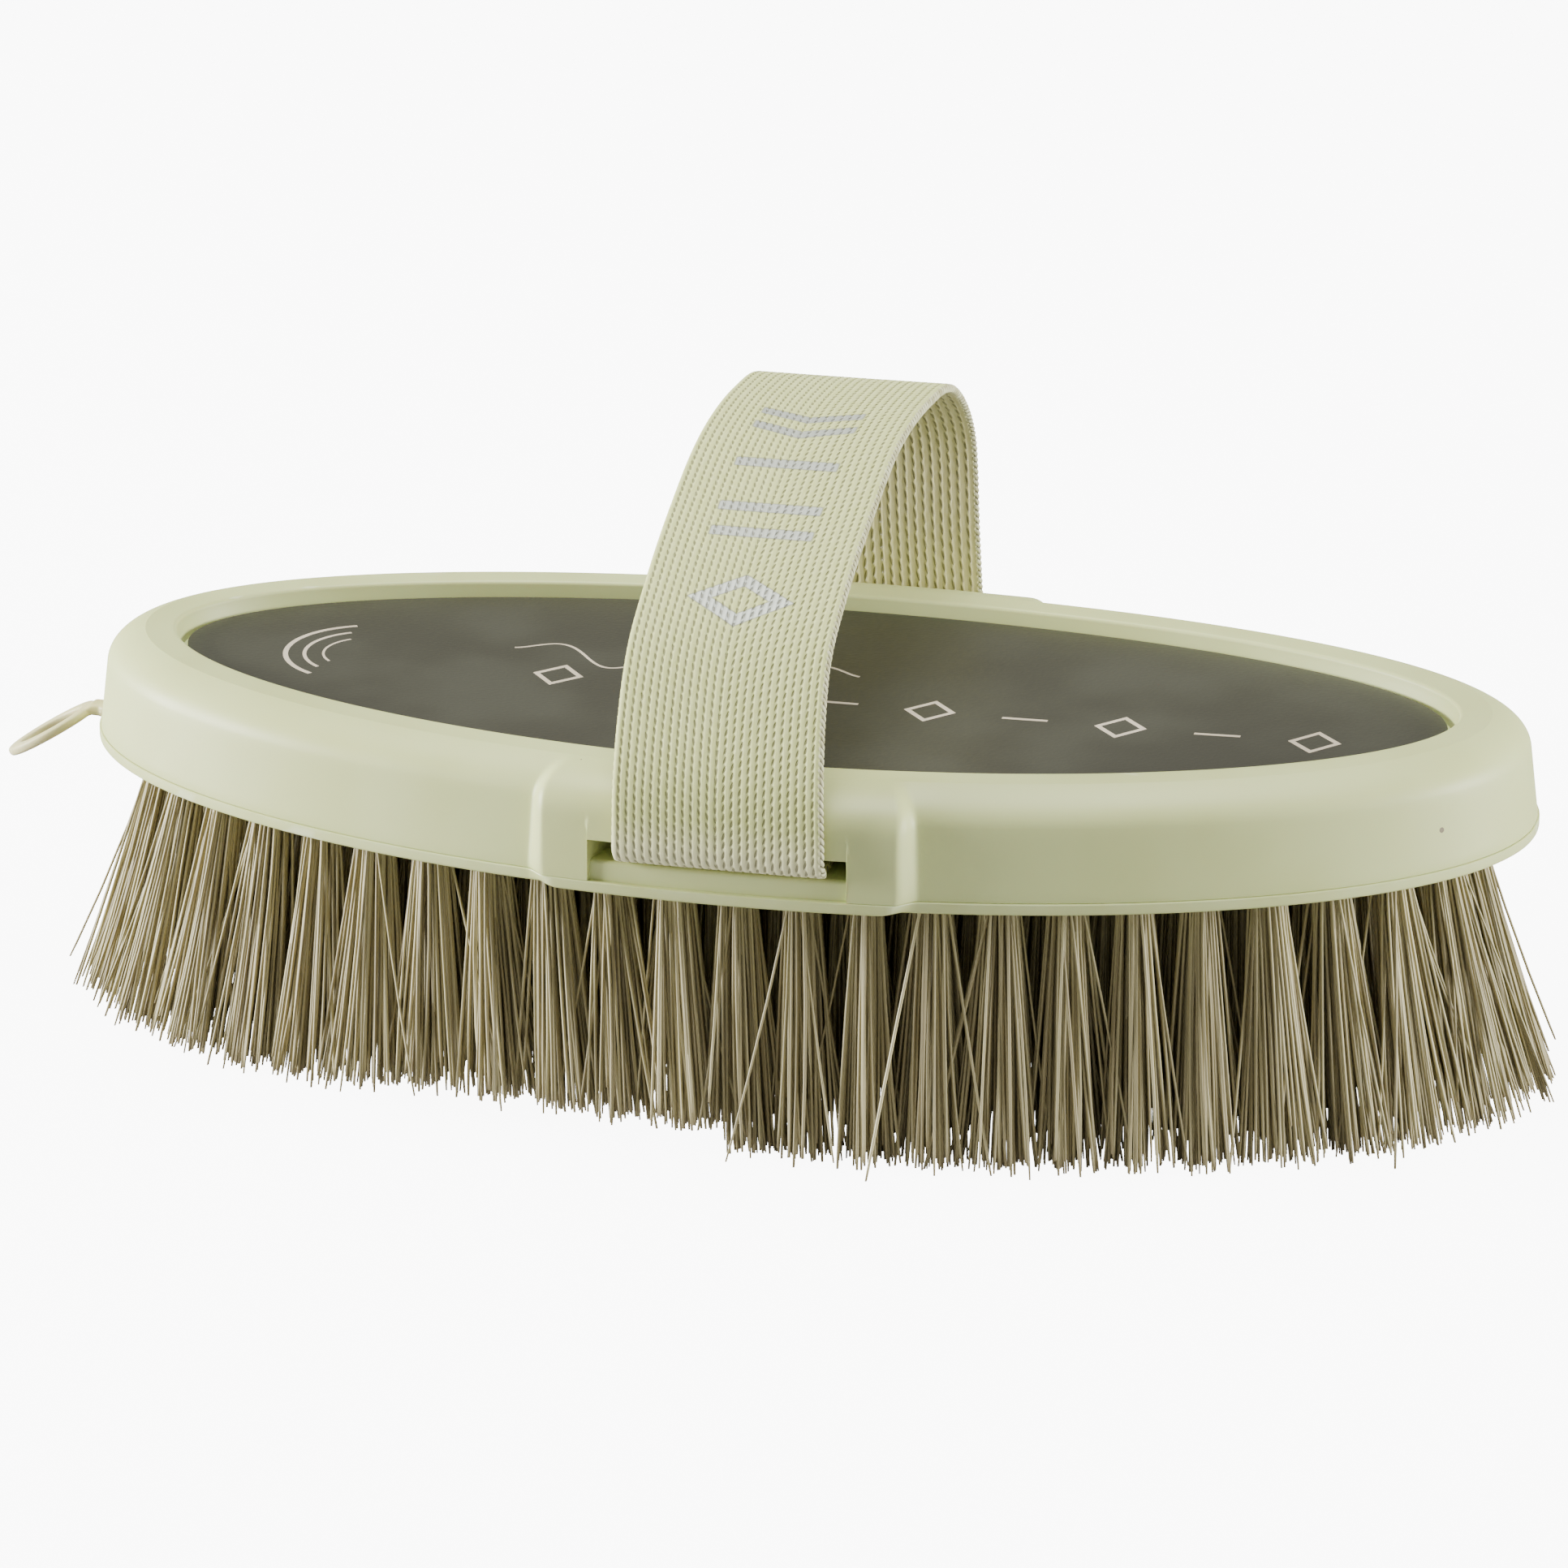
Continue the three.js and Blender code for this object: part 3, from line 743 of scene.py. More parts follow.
    def rim(
        self, name: str, section: callable, at_slot: object, elsewhere: object, crisp: int | None = None
    ) -> bpy.types.Object:
        """Makes a moulding whose wall swells into the strap pads and changes at the slots.

        Args:
            name: the piece's name.
            section: gives the rows of a Section and of one of the two choices below.
            at_slot: the choice over the slots.
            elsewhere: the choice for the rest.
            crisp: number of a row that stays a crisp edge.

        Returns:
            The object.
        """
        angle = self.rim_columns()
        x, _ = self.plan(angle, np.zeros_like(angle))
        slot = (np.abs(x) < self.slot_half)[:, None, None]
        wall, pad = (
            np.where(slot, section(kind, at_slot), section(kind, elsewhere)) for kind in Section
        )
        share = self.pad_share(x[:, None], wall[..., 1])[..., None]
        return self.carry(name, angle, wall + (pad - wall) * share, crisp)

    def carry(
        self, name: str, angle: np.ndarray, rows: np.ndarray, crisp: int | None = None
    ) -> bpy.types.Object:
        """Makes a closed solid from sections that are carried round the oval.

        Args:
            name: the piece's name.
            angle: the columns.
            rows: inset and height of each row of each column, from the middle to the middle.
            crisp: number of a row that stays a crisp edge.

        Returns:
            The object.
        """
        x, y = self.plan(angle[:, None], rows[..., 0])
        points = np.stack([x, y, self.lift(x, rows[..., 1])], -1)
        faces = grid_faces(len(angle), rows.shape[1], False)
        last, width = len(angle) - 1, rows.shape[1]
        faces += [
            [last * width + i, last * width + i + 1, i + 1, i] for i in range(width - 1)
        ]
        piece = make_object(name, points, faces)
        marked = np.zeros(rows.shape[:2])
        if crisp is not None:
            marked[:, crisp] = 1
        set_values(piece, "crisp", marked)
        tidy_mesh(piece, 32)
        values = piece.data.attributes["crisp"].data
        for edge in piece.data.edges:
            if values[edge.vertices[0]].value + values[edge.vertices[1]].value > 1.5:
                edge.use_edge_sharp = True
        return piece


@dataclass
class BackShell:
    """The moulded back: drafted wall, rounded shoulder, flat ring, recess and strap pads."""

    lines: BodyLines
    shoulder_start: float = 11.2 * MM
    shoulder_width: float = 6.7 * MM
    lip_radius: float = 0.55 * MM
    edge_radius: float = 0.08 * MM
    pad_top_start: float = 10.2 * MM
    pad_draft: float = 0.26 * MM

    def section(self, kind: Section, bottom: float) -> np.ndarray:
        """Rows of inset and height from the middle of the deck round to its underside.

        Args:
            kind: the plain wall or a strap pad.
            bottom: height of the lower edge, which is higher over a slot.

        Returns:
            The rows, as many for either kind.
        """
        body, land = self.lines, self.lines.land_height
        lip = (body.rim_width - self.lip_radius, land - self.lip_radius)
        corner = (self.shoulder_width, land)
        if kind is Section.WALL:
            start = (body.wall_inset(self.shoulder_start), self.shoulder_start)
            control = (body.wall_inset(land), land - 1.5 * MM)
            shoulder = bezier([corner, control, start], 14)
            foot = body.wall_inset(bottom)
        else:
            start = (-body.pad_proud + self.pad_draft, self.pad_top_start)
            controls = [(3.4 * MM, 15.3 * MM), (-1.1 * MM, 14.2 * MM)]
            shoulder = bezier([corner, *controls, start], 14)
            foot = -body.pad_proud
        edge = self.edge_radius
        hollow, deck = land - body.wall, body.deck_bottom
        inner = body.wall_inset(bottom) + body.wall
        recess = body.rim_width - body.wall
        return np.concatenate([
            line((body.half_width, body.deck_top), (lip[0] + 1.4 * MM, body.deck_top), 8),
            line((body.rim_width + body.recess_draft, body.deck_top), (body.rim_width, lip[1]), 3),
            arc(lip, self.lip_radius, 8, 90, 7),
            line((lip[0] - 0.6 * MM, land), (corner[0] + 0.3 * MM, land), 3),
            shoulder,
            line(start, (foot, bottom + edge), 8)[1:],
            arc((foot + edge, bottom + edge), edge, 200, 270, 3),
            [(inner - edge, bottom), (inner, bottom + edge)],
            [(body.wall_inset(deck) + body.wall, deck)],
            line((self.shoulder_width, hollow), (recess, hollow), 2),
            line((recess + body.recess_draft, deck), (body.half_width, deck), 8),
        ])

    def build(self) -> None:
        """Builds the shell in place of its CAD node."""
        body = self.lines
        bottoms = body.slot_top, body.shell_bottom
        rows = self.section(Section.WALL, body.shell_bottom)
        ring_edge = int(np.argmin(np.abs(rows - (self.shoulder_width, body.land_height)).sum(1)))
        shell = body.rim("back_shell_moulding", self.section, *bottoms, ring_edge)
        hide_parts("back_shell")
        dress(shell, CREAM)


@dataclass
class BristlePlate:
    """The plate under the shell: its edge flange, the sills of the slots and its plug."""

    lines: BodyLines
    edge_radius: float = 0.45 * MM
    proud: float = 0.06 * MM
    sill_setback: float = 0.7 * MM
    sill_radius: float = 0.6 * MM
    sill_depth: float = 8 * MM
    plug_wall: float = 2 * MM
    lip: float = 0.12 * MM

    def section(self, kind: Section, at_sill: bool) -> np.ndarray:
        """Rows of inset and height from the middle of the underside to the middle of the top.

        Args:
            kind: the plain flange or a strap pad's.
            at_sill: whether the plate rises to a sill there and not to its plug.

        Returns:
            The rows, as many for each choice.
        """
        body, edge = self.lines, self.edge_radius
        top, sill = body.flange_height, body.sill_height
        out = -self.proud if kind is Section.WALL else -body.pad_proud - self.proud
        if at_sill:
            face, radius = self.sill_setback - body.pad_proud, self.sill_radius
            corner = arc((face + radius, sill - radius), radius, 180, 90, 6)
            upper = np.concatenate([[(face, top)], corner, [(self.sill_depth, sill)]])
        else:
            plug = [body.wall_inset(h) + body.wall + body.gap for h in (top, body.plate_height)]
            inner = plug[1] + self.plug_wall
            upper = np.concatenate([
                line((plug[0], top), (plug[1], body.plate_height), 4),
                line((inner, body.plate_height), (inner, sill), 2),
                [(self.sill_depth, sill)],
            ])
        lip = self.lip
        return np.concatenate([
            line((body.half_width, 0), (out + edge + 1 * MM, 0), 9),
            arc((out + edge, edge), edge, 270, 180, 4),
            [(out, top - lip), (out + lip, top)],
            upper,
            line((self.sill_depth + 1 * MM, sill), (body.half_width, sill), 3),
        ])

    def build(self) -> None:
        """Builds the plate in place of its CAD node."""
        plate = self.lines.rim("bristle_plate_moulding", self.section, True, False)
        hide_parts("bristle_plate")
        dress(plate, CREAM)


# ---------------------------------------------------------------- the inlay


def offset_line(path: np.ndarray, width: float, closed: bool) -> tuple:
    """The two edges of a flat line of even width, mitred at its corners.

    Args:
        path: its middle, one row of x and y for each point.
        width: its width.
        closed: whether its end joins its start.

    Returns:
        The left and right edges.
    """
    before = np.roll(path, 1, 0) if closed else np.vstack([2 * path[0] - path[1], path[:-1]])
    after = np.roll(path, -1, 0) if closed else np.vstack([path[1:], 2 * path[-1] - path[-2]])
    unit = [d / np.linalg.norm(d, axis=1, keepdims=True) for d in (path - before, after - path)]
    mitre = unit[0] + unit[1]
    mitre /= np.linalg.norm(mitre, axis=1, keepdims=True)
    normal = np.stack([-mitre[:, 1], mitre[:, 0]], 1)
    reach = width / 2 / np.maximum((mitre * unit[0]).sum(1, keepdims=True), 0.3)
    return path + normal * reach, path - normal * reach


@dataclass
class Inlay:
    """The taupe panel in the recess, with plain decorative lines printed on it."""

    lines: BodyLines
    edge_gap: float = 0.35 * MM
    edge_radius: float = 0.15 * MM
    ink_height: float = 0.03 * MM
    ink_width: float = 0.7 * MM
    mark_count: int = 9
    mark_start: tuple = (-34 * MM, -2.6 * MM)
    mark_end: tuple = (71 * MM, -7.2 * MM)
    mark_half_height: float = 3.8 * MM
    mark_half_width: float = 3.1 * MM
    crescent_centre: tuple = (-61 * MM, -1 * MM)
    crescent_radii: tuple = (12 * MM, 9.4 * MM, 6.8 * MM)
    crescent_half_angle: float = 62  # degrees, for the outer arc
    crescent_step: float = 8  # degrees less for each arc inside it
    crescent_thinning: float = 0.25  # share of the ink's width less for each
    wave_start: float = -43 * MM
    wave_end: float = 6 * MM
    wave_middle: float = 7 * MM
    wave_height: float = 5.5 * MM
    wave_halves: int = 5
    wave_thinning: float = 0.6

    def panel(self) -> None:
        """Builds the panel in place of its CAD node."""
        body = self.lines
        edge = body.rim_width + body.recess_draft + self.edge_gap
        bottom, top, radius = body.deck_top + body.gap, body.inlay_top, self.edge_radius
        rows = np.concatenate([
            line((body.half_width, bottom), (edge, bottom), 8),
            arc((edge + radius, top - radius), radius, 180, 90, 4),
            line((edge + 1 * MM, top), (body.half_width, top), 9),
        ])
        angle = body.columns()
        panel = body.carry("inlay_face", angle, np.repeat(rows[None], len(angle), 0))
        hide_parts("inlay_panel")
        dress(panel, TAUPE)

    def strokes(self) -> list:
        """The printed lines: arcs at one end, a slow wave, and a row of diamonds and bars.

        Returns:
            For each line its path, its width and whether it is closed.
        """
        made = []
        for i, radius in enumerate(self.crescent_radii):
            half = math.radians(self.crescent_half_angle - self.crescent_step * i)
            angle = np.linspace(np.pi - half, np.pi + half, 40)
            ring = np.stack([np.cos(angle), np.sin(angle)], 1) * radius
            width = self.ink_width * (1 - self.crescent_thinning * i)
            made.append((ring + self.crescent_centre, width, False))
        t = np.linspace(0, 1, 160)
        swing = self.wave_height * np.sin(t * self.wave_halves * np.pi)
        wave = self.wave_middle + swing * np.sin(t * np.pi) ** 0.5
        x = self.wave_start + (self.wave_end - self.wave_start) * t
        made.append((np.stack([x, wave], 1), self.ink_width * self.wave_thinning, False))
        for i, spot in enumerate(line(self.mark_start, self.mark_end, self.mark_count - 1)):
            if i % 2:
                reach = (self.mark_half_width, 0)
                made.append((line(spot - reach, spot + reach, 1), self.ink_width, False))
            else:
                turn = np.arange(4) * np.pi / 2
                size = (self.mark_half_width, self.mark_half_height)
                diamond = spot + np.stack([np.cos(turn), np.sin(turn)], 1) * size
                made.append((diamond, self.ink_width, True))
        return made

    def ink(self) -> None:
        """Builds the printed lines as thin raised strips."""
        body, points, faces = self.lines, [], []
        for path, width, closed in self.strokes():
            left, right = offset_line(path, width, closed)
            rings = np.stack([left, right, right, left], 1)
            heights = np.array([1, 1, -1, -1]) * self.ink_height + body.inlay_top
            z = body.lift(rings[..., 0], np.broadcast_to(heights, rings.shape[:2]))
            ring = np.concatenate([rings, z[..., None]], -1)
            faces += tube_faces(len(ring), 4, len(points), closed)
            points.extend(ring.reshape(-1, 3).tolist())
        marks = make_object("inlay_marks", np.array(points), faces)
        tidy_mesh(marks, 30)
        dress(marks, PALE_INK)

    def build(self) -> None:
        """Builds the panel and its print."""
        self.panel()
        self.ink()


# ---------------------------------------------------------------- the hand strap


class EasedValues:
    """Values that ease from one station to the next without overshoot."""

    def __init__(self, stations: np.ndarray, values: np.ndarray) -> None:
        """Keeps the stations and the values there."""
        self.stations, self.values = stations, values

    def at(self, places: np.ndarray) -> np.ndarray:
        """The values at any places."""
        after = np.clip(np.searchsorted(self.stations, places), 1, len(self.stations) - 1)
        start, end = self.stations[after - 1], self.stations[after]
        t = (places - start) / (end - start)
        t = (t * t * (3 - 2 * t))[..., None]
        return self.values[after - 1] * (1 - t) + self.values[after] * t


def smooth_through(points: np.ndarray, steps: int) -> np.ndarray:
    """A centripetal Catmull-Rom curve through points.

    Args:
        points: the points, one row each.
        steps: stretches between two of them.

    Returns:
        Points of the curve.
    """
    ends = [2 * points[0] - points[1], *points, 2 * points[-1] - points[-2]]
    out = [points[0]]
    for a, b, c, d in zip(ends, ends[1:], ends[2:], ends[3:]):
        d0, d1, d2 = (math.sqrt(np.linalg.norm(q - p)) for p, q in ((a, b), (b, c), (c, d)))
        leave = ((b - a) / d0 - (c - a) / (d0 + d1) + (c - b) / d1) * d1
        arrive = ((c - b) / d1 - (d - b) / (d1 + d2) + (d - c) / d2) * d1
        for t in np.linspace(0, 1, steps + 1)[1:]:
            h = 2 * t**3 - 3 * t**2 + 1, t**3 - 2 * t**2 + t, 3 * t**2 - 2 * t**3, t**3 - t**2
            out.append(h[0] * b + h[1] * leave + h[2] * c + h[3] * arrive)
    return np.array(out)


@dataclass
class HandStrap:
    """The webbing band: it arches over the back and passes through the body, lapped inside."""

    lines: BodyLines
    thickness: float = 1.3 * MM
    rise: float = 49.2 * MM
    bend: float = 2.05 * MM
    lap: float = 14 * MM
    lap_ramp: float = 3 * MM
    ribs: int = 26
    samples_per_rib: int = 4
    stitch: float = 1.2 * MM
    samples_per_stitch: int = 3
    inner_ribs: float = 0.85
    inner_stitches: float = 0.6
    relief: float = 0.17 * MM
    curl: tuple = ((0, 0.995, 0.5), (0.22, 0.955, -1.2), (0.45, 0.975, -1.6), (0.8, 1, -0.3), (1, 1, 0))
    edge_cord: float = 0.5 * MM
    edge_bead: float = 0.95 * MM
    edge_samples: int = 7  # along one bead
    edge_sides: int = 12
    edge_waist: float = 0.5  # share of the cord's radius between beads
    selvedge: float = 0.7 * MM
    hidden_step: float = 2.5 * MM
    print_half: float = 7.2 * MM
    print_stroke: float = 0.95 * MM
    diamond_at: float = 38 * MM
    diamond_half: float = 4.4 * MM
    bars_at: tuple = (51 * MM, 56.5 * MM, 66.5 * MM)
    chevrons_at: tuple = (74 * MM, 78.5 * MM)
    chevron_slope: float = 0.35
    arch: tuple = (
        (-1, 0), (-0.968, 0.18), (-0.885, 0.355), (-0.73, 0.565), (-0.5, 0.725), (-0.23, 0.85),
        (0.07, 0.962), (0.385, 1), (0.65, 0.965), (0.88, 0.73), (0.945, 0.34), (1, 0),
    )  # from the near side to the far side: share of the way out, share of the way up

    @property
    def low(self) -> float:
        """Height of the middle of the webbing where it lies in the channel."""
        return self.lines.sill_height + self.lines.gap + self.thickness / 2

    @property
    def width(self) -> float:
        """Width of the webbing, from its CAD solid."""
        low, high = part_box("hand_strap")
        return high.x - low.x

    def path(self) -> tuple:
        """The band's middle line in y and height, and how far along it the arch runs.

        Returns:
            The points, and the lengths at which the visible part starts and ends.
        """
        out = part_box("hand_strap")[1].y - self.thickness / 2
        foot = self.low + self.bend
        arch = smooth_through(np.array(self.arch) * (out, self.rise - foot) + (0, foot), 10)
        near = arc((-(out - self.bend), foot), self.bend, 270, 180, 6)
        far = arc((out - self.bend, foot), self.bend, 0, -90, 6)
        upper = self.low + self.thickness + self.lines.gap
        ramp = self.lap + 2 * self.thickness
        tail = [(ramp + self.thickness + self.lap_ramp, self.low), (ramp, upper), (-self.lap, upper)]
        points = np.concatenate([[(self.lap, self.low)], near, arch[1:-1], far, tail])
        steps = np.linalg.norm(np.diff(points, axis=0), axis=1)
        before = steps[:2].sum()
        return points, before, before + steps[2:-6].sum()

    def across(self, u: np.ndarray, v: np.ndarray, arch: float) -> np.ndarray:
        """x of a place on the band, which curls and wanders a little on its way over.

        Args:
            u: across the band, from -0.5 to 0.5.
            v: along the arch from the near slot, in metres.
            arch: length of the arch.

        Returns:
            x, in metres.
        """
        share, narrow, shift = np.array(self.curl).T
        at = np.clip(v / arch, 0, 1)
        ease = EasedValues(share, np.stack([narrow, shift], 1)).at(at)
        return u * self.width * ease[..., 0] + ease[..., 1] * MM

    @staticmethod
    def weave(across: np.ndarray, down: np.ndarray) -> np.ndarray:
        """Height of the webbing's face, 0 in a gap between stitches and 1 on a crown.

        Args:
            across: the place across the band, in ribs from its middle.
            down: the place along it, in stitches.

        Returns:
            The height at each place.
        """
        hand, rib = np.sign(across), np.round(across)
        phase = down - rib * hand * STITCH_STEP
        within = phase - np.round(phase)
        wide = (across - rib - within * hand * STITCH_SLANT) / GAP_WIDTH
        gap = np.exp(-(wide**2) - (within / GAP_LENGTH) ** 2)
        return 1 - 0.8 * gap - 0.2 * np.cos(2 * np.pi * (across - rib)) ** 2

    def printed(self, u: np.ndarray, v: np.ndarray) -> np.ndarray:
        """Mask of the foil print: a diamond, two bars, one bar and a chevron.

        Args:
            u: across the band, in metres.
            v: along the arch from the near slot, in metres.

        Returns:
            How far inside the print a place is, in millimetres, and less than 0 outside.
        """
        half, stroke = self.print_half, self.print_stroke
        past_end = np.abs(u) - half + stroke
        lozenge = np.abs(u) / half + np.abs(v - self.diamond_at) / self.diamond_half
        diamond = np.abs(lozenge - 0.8) * 4.0 * MM
        bars = [np.maximum(np.abs(v - spot), past_end) for spot in self.bars_at]
        chevron = [
            np.maximum(np.abs(v - spot - self.chevron_slope * np.abs(u)), past_end)
            for spot in self.chevrons_at
        ]
        nearest = np.minimum.reduce([diamond, *bars, *chevron])
        return (stroke - nearest) / MM

    def build(self) -> None:
        """Builds the band in place of its CAD node."""
        points, start, end = self.path()
        run = np.concatenate([[0], np.cumsum(np.linalg.norm(np.diff(points, axis=0), axis=1))])
        fine = self.stitch / self.samples_per_stitch
        spans = [(0, start, self.hidden_step), (start, end, fine), (end, run[-1], self.hidden_step / 2)]
        v = np.concatenate([
            np.linspace(a, b, max(2, round((b - a) / step)), endpoint=False) for a, b, step in spans
        ] + [[run[-1]]])
        y, height = (np.interp(v, run, points[:, i]) for i in (0, 1))
        smooth = np.array([1, 2, 3, 2, 1]) / 9
        seen = (v > start + 2 * MM) & (v < end - 2 * MM)
        y[seen] = np.convolve(y, smooth, "same")[seen]
        height[seen] = np.convolve(height, smooth, "same")[seen]
        dy, dz = np.gradient(y, v), np.gradient(height, v)
        size = np.hypot(dy, dz)
        normal = np.stack([-dz / size, dy / size], 1)
        u = np.linspace(-0.5, 0.5, self.ribs * self.samples_per_rib + 1)
        width = self.width
        from_edge = np.clip((np.abs(u) * width - width / 2) / self.selvedge + 1, 0, 1)
        half = np.sqrt(np.clip(1 - from_edge**2, 0.0, 1)) * (self.thickness / 2 - self.relief)
        grid_v, grid_u = np.meshgrid(v - start, u, indexing="ij")
        shown = ((v >= start) & (v <= end)).astype(float)[:, None]
        across, down = grid_u * self.ribs, grid_v / self.stitch
        bands = [(across, down), (across * self.inner_ribs, down * self.inner_stitches)]
        sides = []
        for face, band in zip((1, -1), bands):
            crown = self.weave(*band) * self.relief * shown * (from_edge[None] < 0.99)
            reach = face * (half[None] + crown)
            spot_y = y[:, None] + normal[:, :1] * reach
            spot_z = height[:, None] + normal[:, 1:] * reach
            x = self.across(grid_u, grid_v, end - start)
            sides.append(np.stack([x, spot_y, self.lines.lift(x, spot_z)], -1))
        sides[1] = sides[1][:, ::-1]
        bands[1] = tuple(values[:, ::-1] for values in bands[1])
        ring = np.concatenate(sides, 1)
        rows, columns = ring.shape[:2]
        strap = make_object("hand_strap_webbing", ring, tube_faces(rows, columns))
        for name, outer, inside in zip(("across", "down"), *bands):
            set_values(strap, name, np.concatenate([outer, inside], 1))
        inner = np.repeat([[0.0] * len(u) + [1.0] * len(u)], rows, 0)
        set_values(strap, "inner", inner)
        rim = np.clip(1 - np.minimum(v - start, end - v) / (7 * MM), 0, 1)
        set_values(strap, "foot", np.repeat(rim[:, None], columns, 1) * (1 - inner))
        ink = np.where(shown > 0, self.printed(grid_u * width, grid_v), -1)
        set_values(strap, "print", np.concatenate([ink, -np.ones_like(ink)], 1))
        edit = bmesh.new()
        edit.from_mesh(strap.data)
        bmesh.ops.recalc_face_normals(edit, faces=edit.faces)
        edit.to_mesh(strap.data)
        edit.free()
        strap.data.shade_smooth()
        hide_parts("hand_strap")
        dress(strap, Webbing())
        self.edge(points, start, end)

    def edge(self, path: np.ndarray, start: float, end: float) -> None:
        """Builds the knotted edge that runs down one side of the webbing.

        Args:
            path: the band's middle line in y and height.
            start: length along it at which the edge comes into sight.
            end: length at which it goes out of sight.
        """
        run = np.concatenate([[0], np.cumsum(np.linalg.norm(np.diff(path, axis=0), axis=1))])
        v = np.arange(start, end, self.edge_bead / self.edge_samples)
        y, height = (np.interp(v, run, path[:, i]) for i in (0, 1))
        smooth = np.ones(9) / 9
        y[4:-4], height[4:-4] = np.convolve(y, smooth, "valid"), np.convolve(height, smooth, "valid")
        dy, dz = np.gradient(y, v), np.gradient(height, v)
        roll = np.linspace(0, 2 * np.pi, self.edge_sides, endpoint=False)[None]
        twist = np.abs(np.cos(roll - np.pi * v[:, None] / self.edge_bead))
        radius = self.edge_cord * (self.edge_waist + (1 - self.edge_waist) * twist**0.6)
        x = self.across(np.full_like(v, 0.5), v - start, end - start)[:, None]
        x = x - self.edge_cord * 0.5 + radius * np.cos(roll)
        lift = radius * np.sin(roll) * 1.25
        spot_y, spot_z = y[:, None] - dz[:, None] * lift, height[:, None] + dy[:, None] * lift
        points = np.stack([x, spot_y, self.lines.lift(x, spot_z)], -1)
        cord = make_object("hand_strap_knotted_edge", points, tube_faces(*x.shape))
        # the bead profile, which the material reads to paint shade between the beads
        set_values(cord, "bead", twist)
        tidy_mesh(cord, 180)
        dress(cord, KnottedEdge())


# ---------------------------------------------------------------- the hanging loop


def soft_round(roll: np.ndarray) -> list:
    """Across and up on a section between a circle and a square."""
    return [np.sign(f(roll)) * np.abs(f(roll)) ** 0.6 for f in (np.cos, np.sin)]


@dataclass
class HangingLoop:
    """The soft moulded ring at the end of the plate, with the neck that it bends at."""

    lines: BodyLines
    length: float = 14.5 * MM
    width: float = 12 * MM
    band: float = 2.1 * MM
    thickness: float = 1.3 * MM
    droop: float = math.radians(30.5)
    neck_width: float = 3 * MM
    neck_reach: float = 1.6 * MM
    neck_height: float = 0.85 * MM
    rooted: float = 1.2 * MM
    bend_reach: float = 1.5 * MM
    voxel: float = 0.13 * MM

    def pivot(self) -> Vector:
        """Where the neck leaves the wall, which is the joint's place in the record."""
        joint = next(j for j in frame["joints"] if j["name"] == "loop_flex")
        return Vector(joint["pos_m"])

    def ring(self, start: tuple) -> tuple:
        """Vertices and faces of the ring, from the end of the neck."""
        around, across = 72, 16
        turn, roll = np.meshgrid(
            np.linspace(0, 2 * np.pi, around, endpoint=False),
            np.linspace(0, 2 * np.pi, across, endpoint=False), indexing="ij",
        )
        soft = soft_round(roll)
        radius = self.width / 2 - self.band / 2 + soft[0] * self.band / 2
        along = radius * np.cos(turn) * self.length / self.width
        x = start[0] - (self.length / 2 + along) * math.cos(self.droop)
        height = start[1] - (self.length / 2 + along) * math.sin(self.droop)
        x = x + soft[1] * self.thickness / 2 * -math.sin(self.droop)
        height = height + soft[1] * self.thickness / 2 * math.cos(self.droop)
        points = np.stack([x, radius * np.sin(turn), height], -1).reshape(-1, 3)
        return points, tube_faces(around, across, closed=True)

    def neck(self, start: tuple) -> tuple:
        """Vertices and faces of the neck, from inside the wall to the ring, waisted at the pivot."""
        pivot = self.pivot()
        end = (start[0] - self.band * math.cos(self.droop), start[1] - self.band * math.sin(self.droop))
        path = np.array([
            (pivot.x + self.rooted, self.neck_height), (pivot.x + 0.3 * MM, self.neck_height),
            (pivot.x - 0.4 * MM, self.neck_height), start, end,
        ])
        half_width = np.array([1.5, 1.3, 1.1, 1.2, 1.5]) * self.neck_width / 2
        half_thick = np.array([1.65, 1.65, 1.45, 1.35, 1.0]) * self.thickness / 2
        roll = np.linspace(0, 2 * np.pi, 16, endpoint=False)
        soft = soft_round(roll)
        points = []
        for spot, wide, thick in zip(path, half_width, half_thick):
            points += [(spot[0], wide * a, spot[1] + thick * b) for a, b in zip(*soft)]
        return np.array(points), tube_faces(len(path), len(roll))

    def build(self) -> None:
        """Builds ring and neck as one soft piece in place of the CAD node."""
        start = (self.pivot().x - self.neck_reach, self.neck_height)
        ring, ring_faces = self.ring(start)
        neck, neck_faces = self.neck(start)
        points = np.concatenate([ring, neck])
        faces = ring_faces + [[i + len(ring) for i in face] for face in neck_faces]
        points[:, 2] = self.lines.lift(points[:, 0], points[:, 2])
        loop = make_object("hanging_loop_moulding", points, faces)
        tidy_mesh(loop, 180)
        loop.modifiers.new("blend", "REMESH").voxel_size = self.voxel
        soften = loop.modifiers.new("soften", "SMOOTH")
        soften.factor, soften.iterations = 0.5, 5
        apply_modifiers(loop)
        loop.data.shade_smooth()
        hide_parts("hanging_loop")
        dress(loop, LOOP_CREAM, None)
        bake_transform(loop)


# ---------------------------------------------------------------- the bristles


@dataclass(frozen=True)
class Tuft:
    """One tuft: where it leaves the plate, where its tips stand, and how they spread."""

    root: np.ndarray
    tip: np.ndarray
    along: np.ndarray
    spread: tuple
    bristles: int


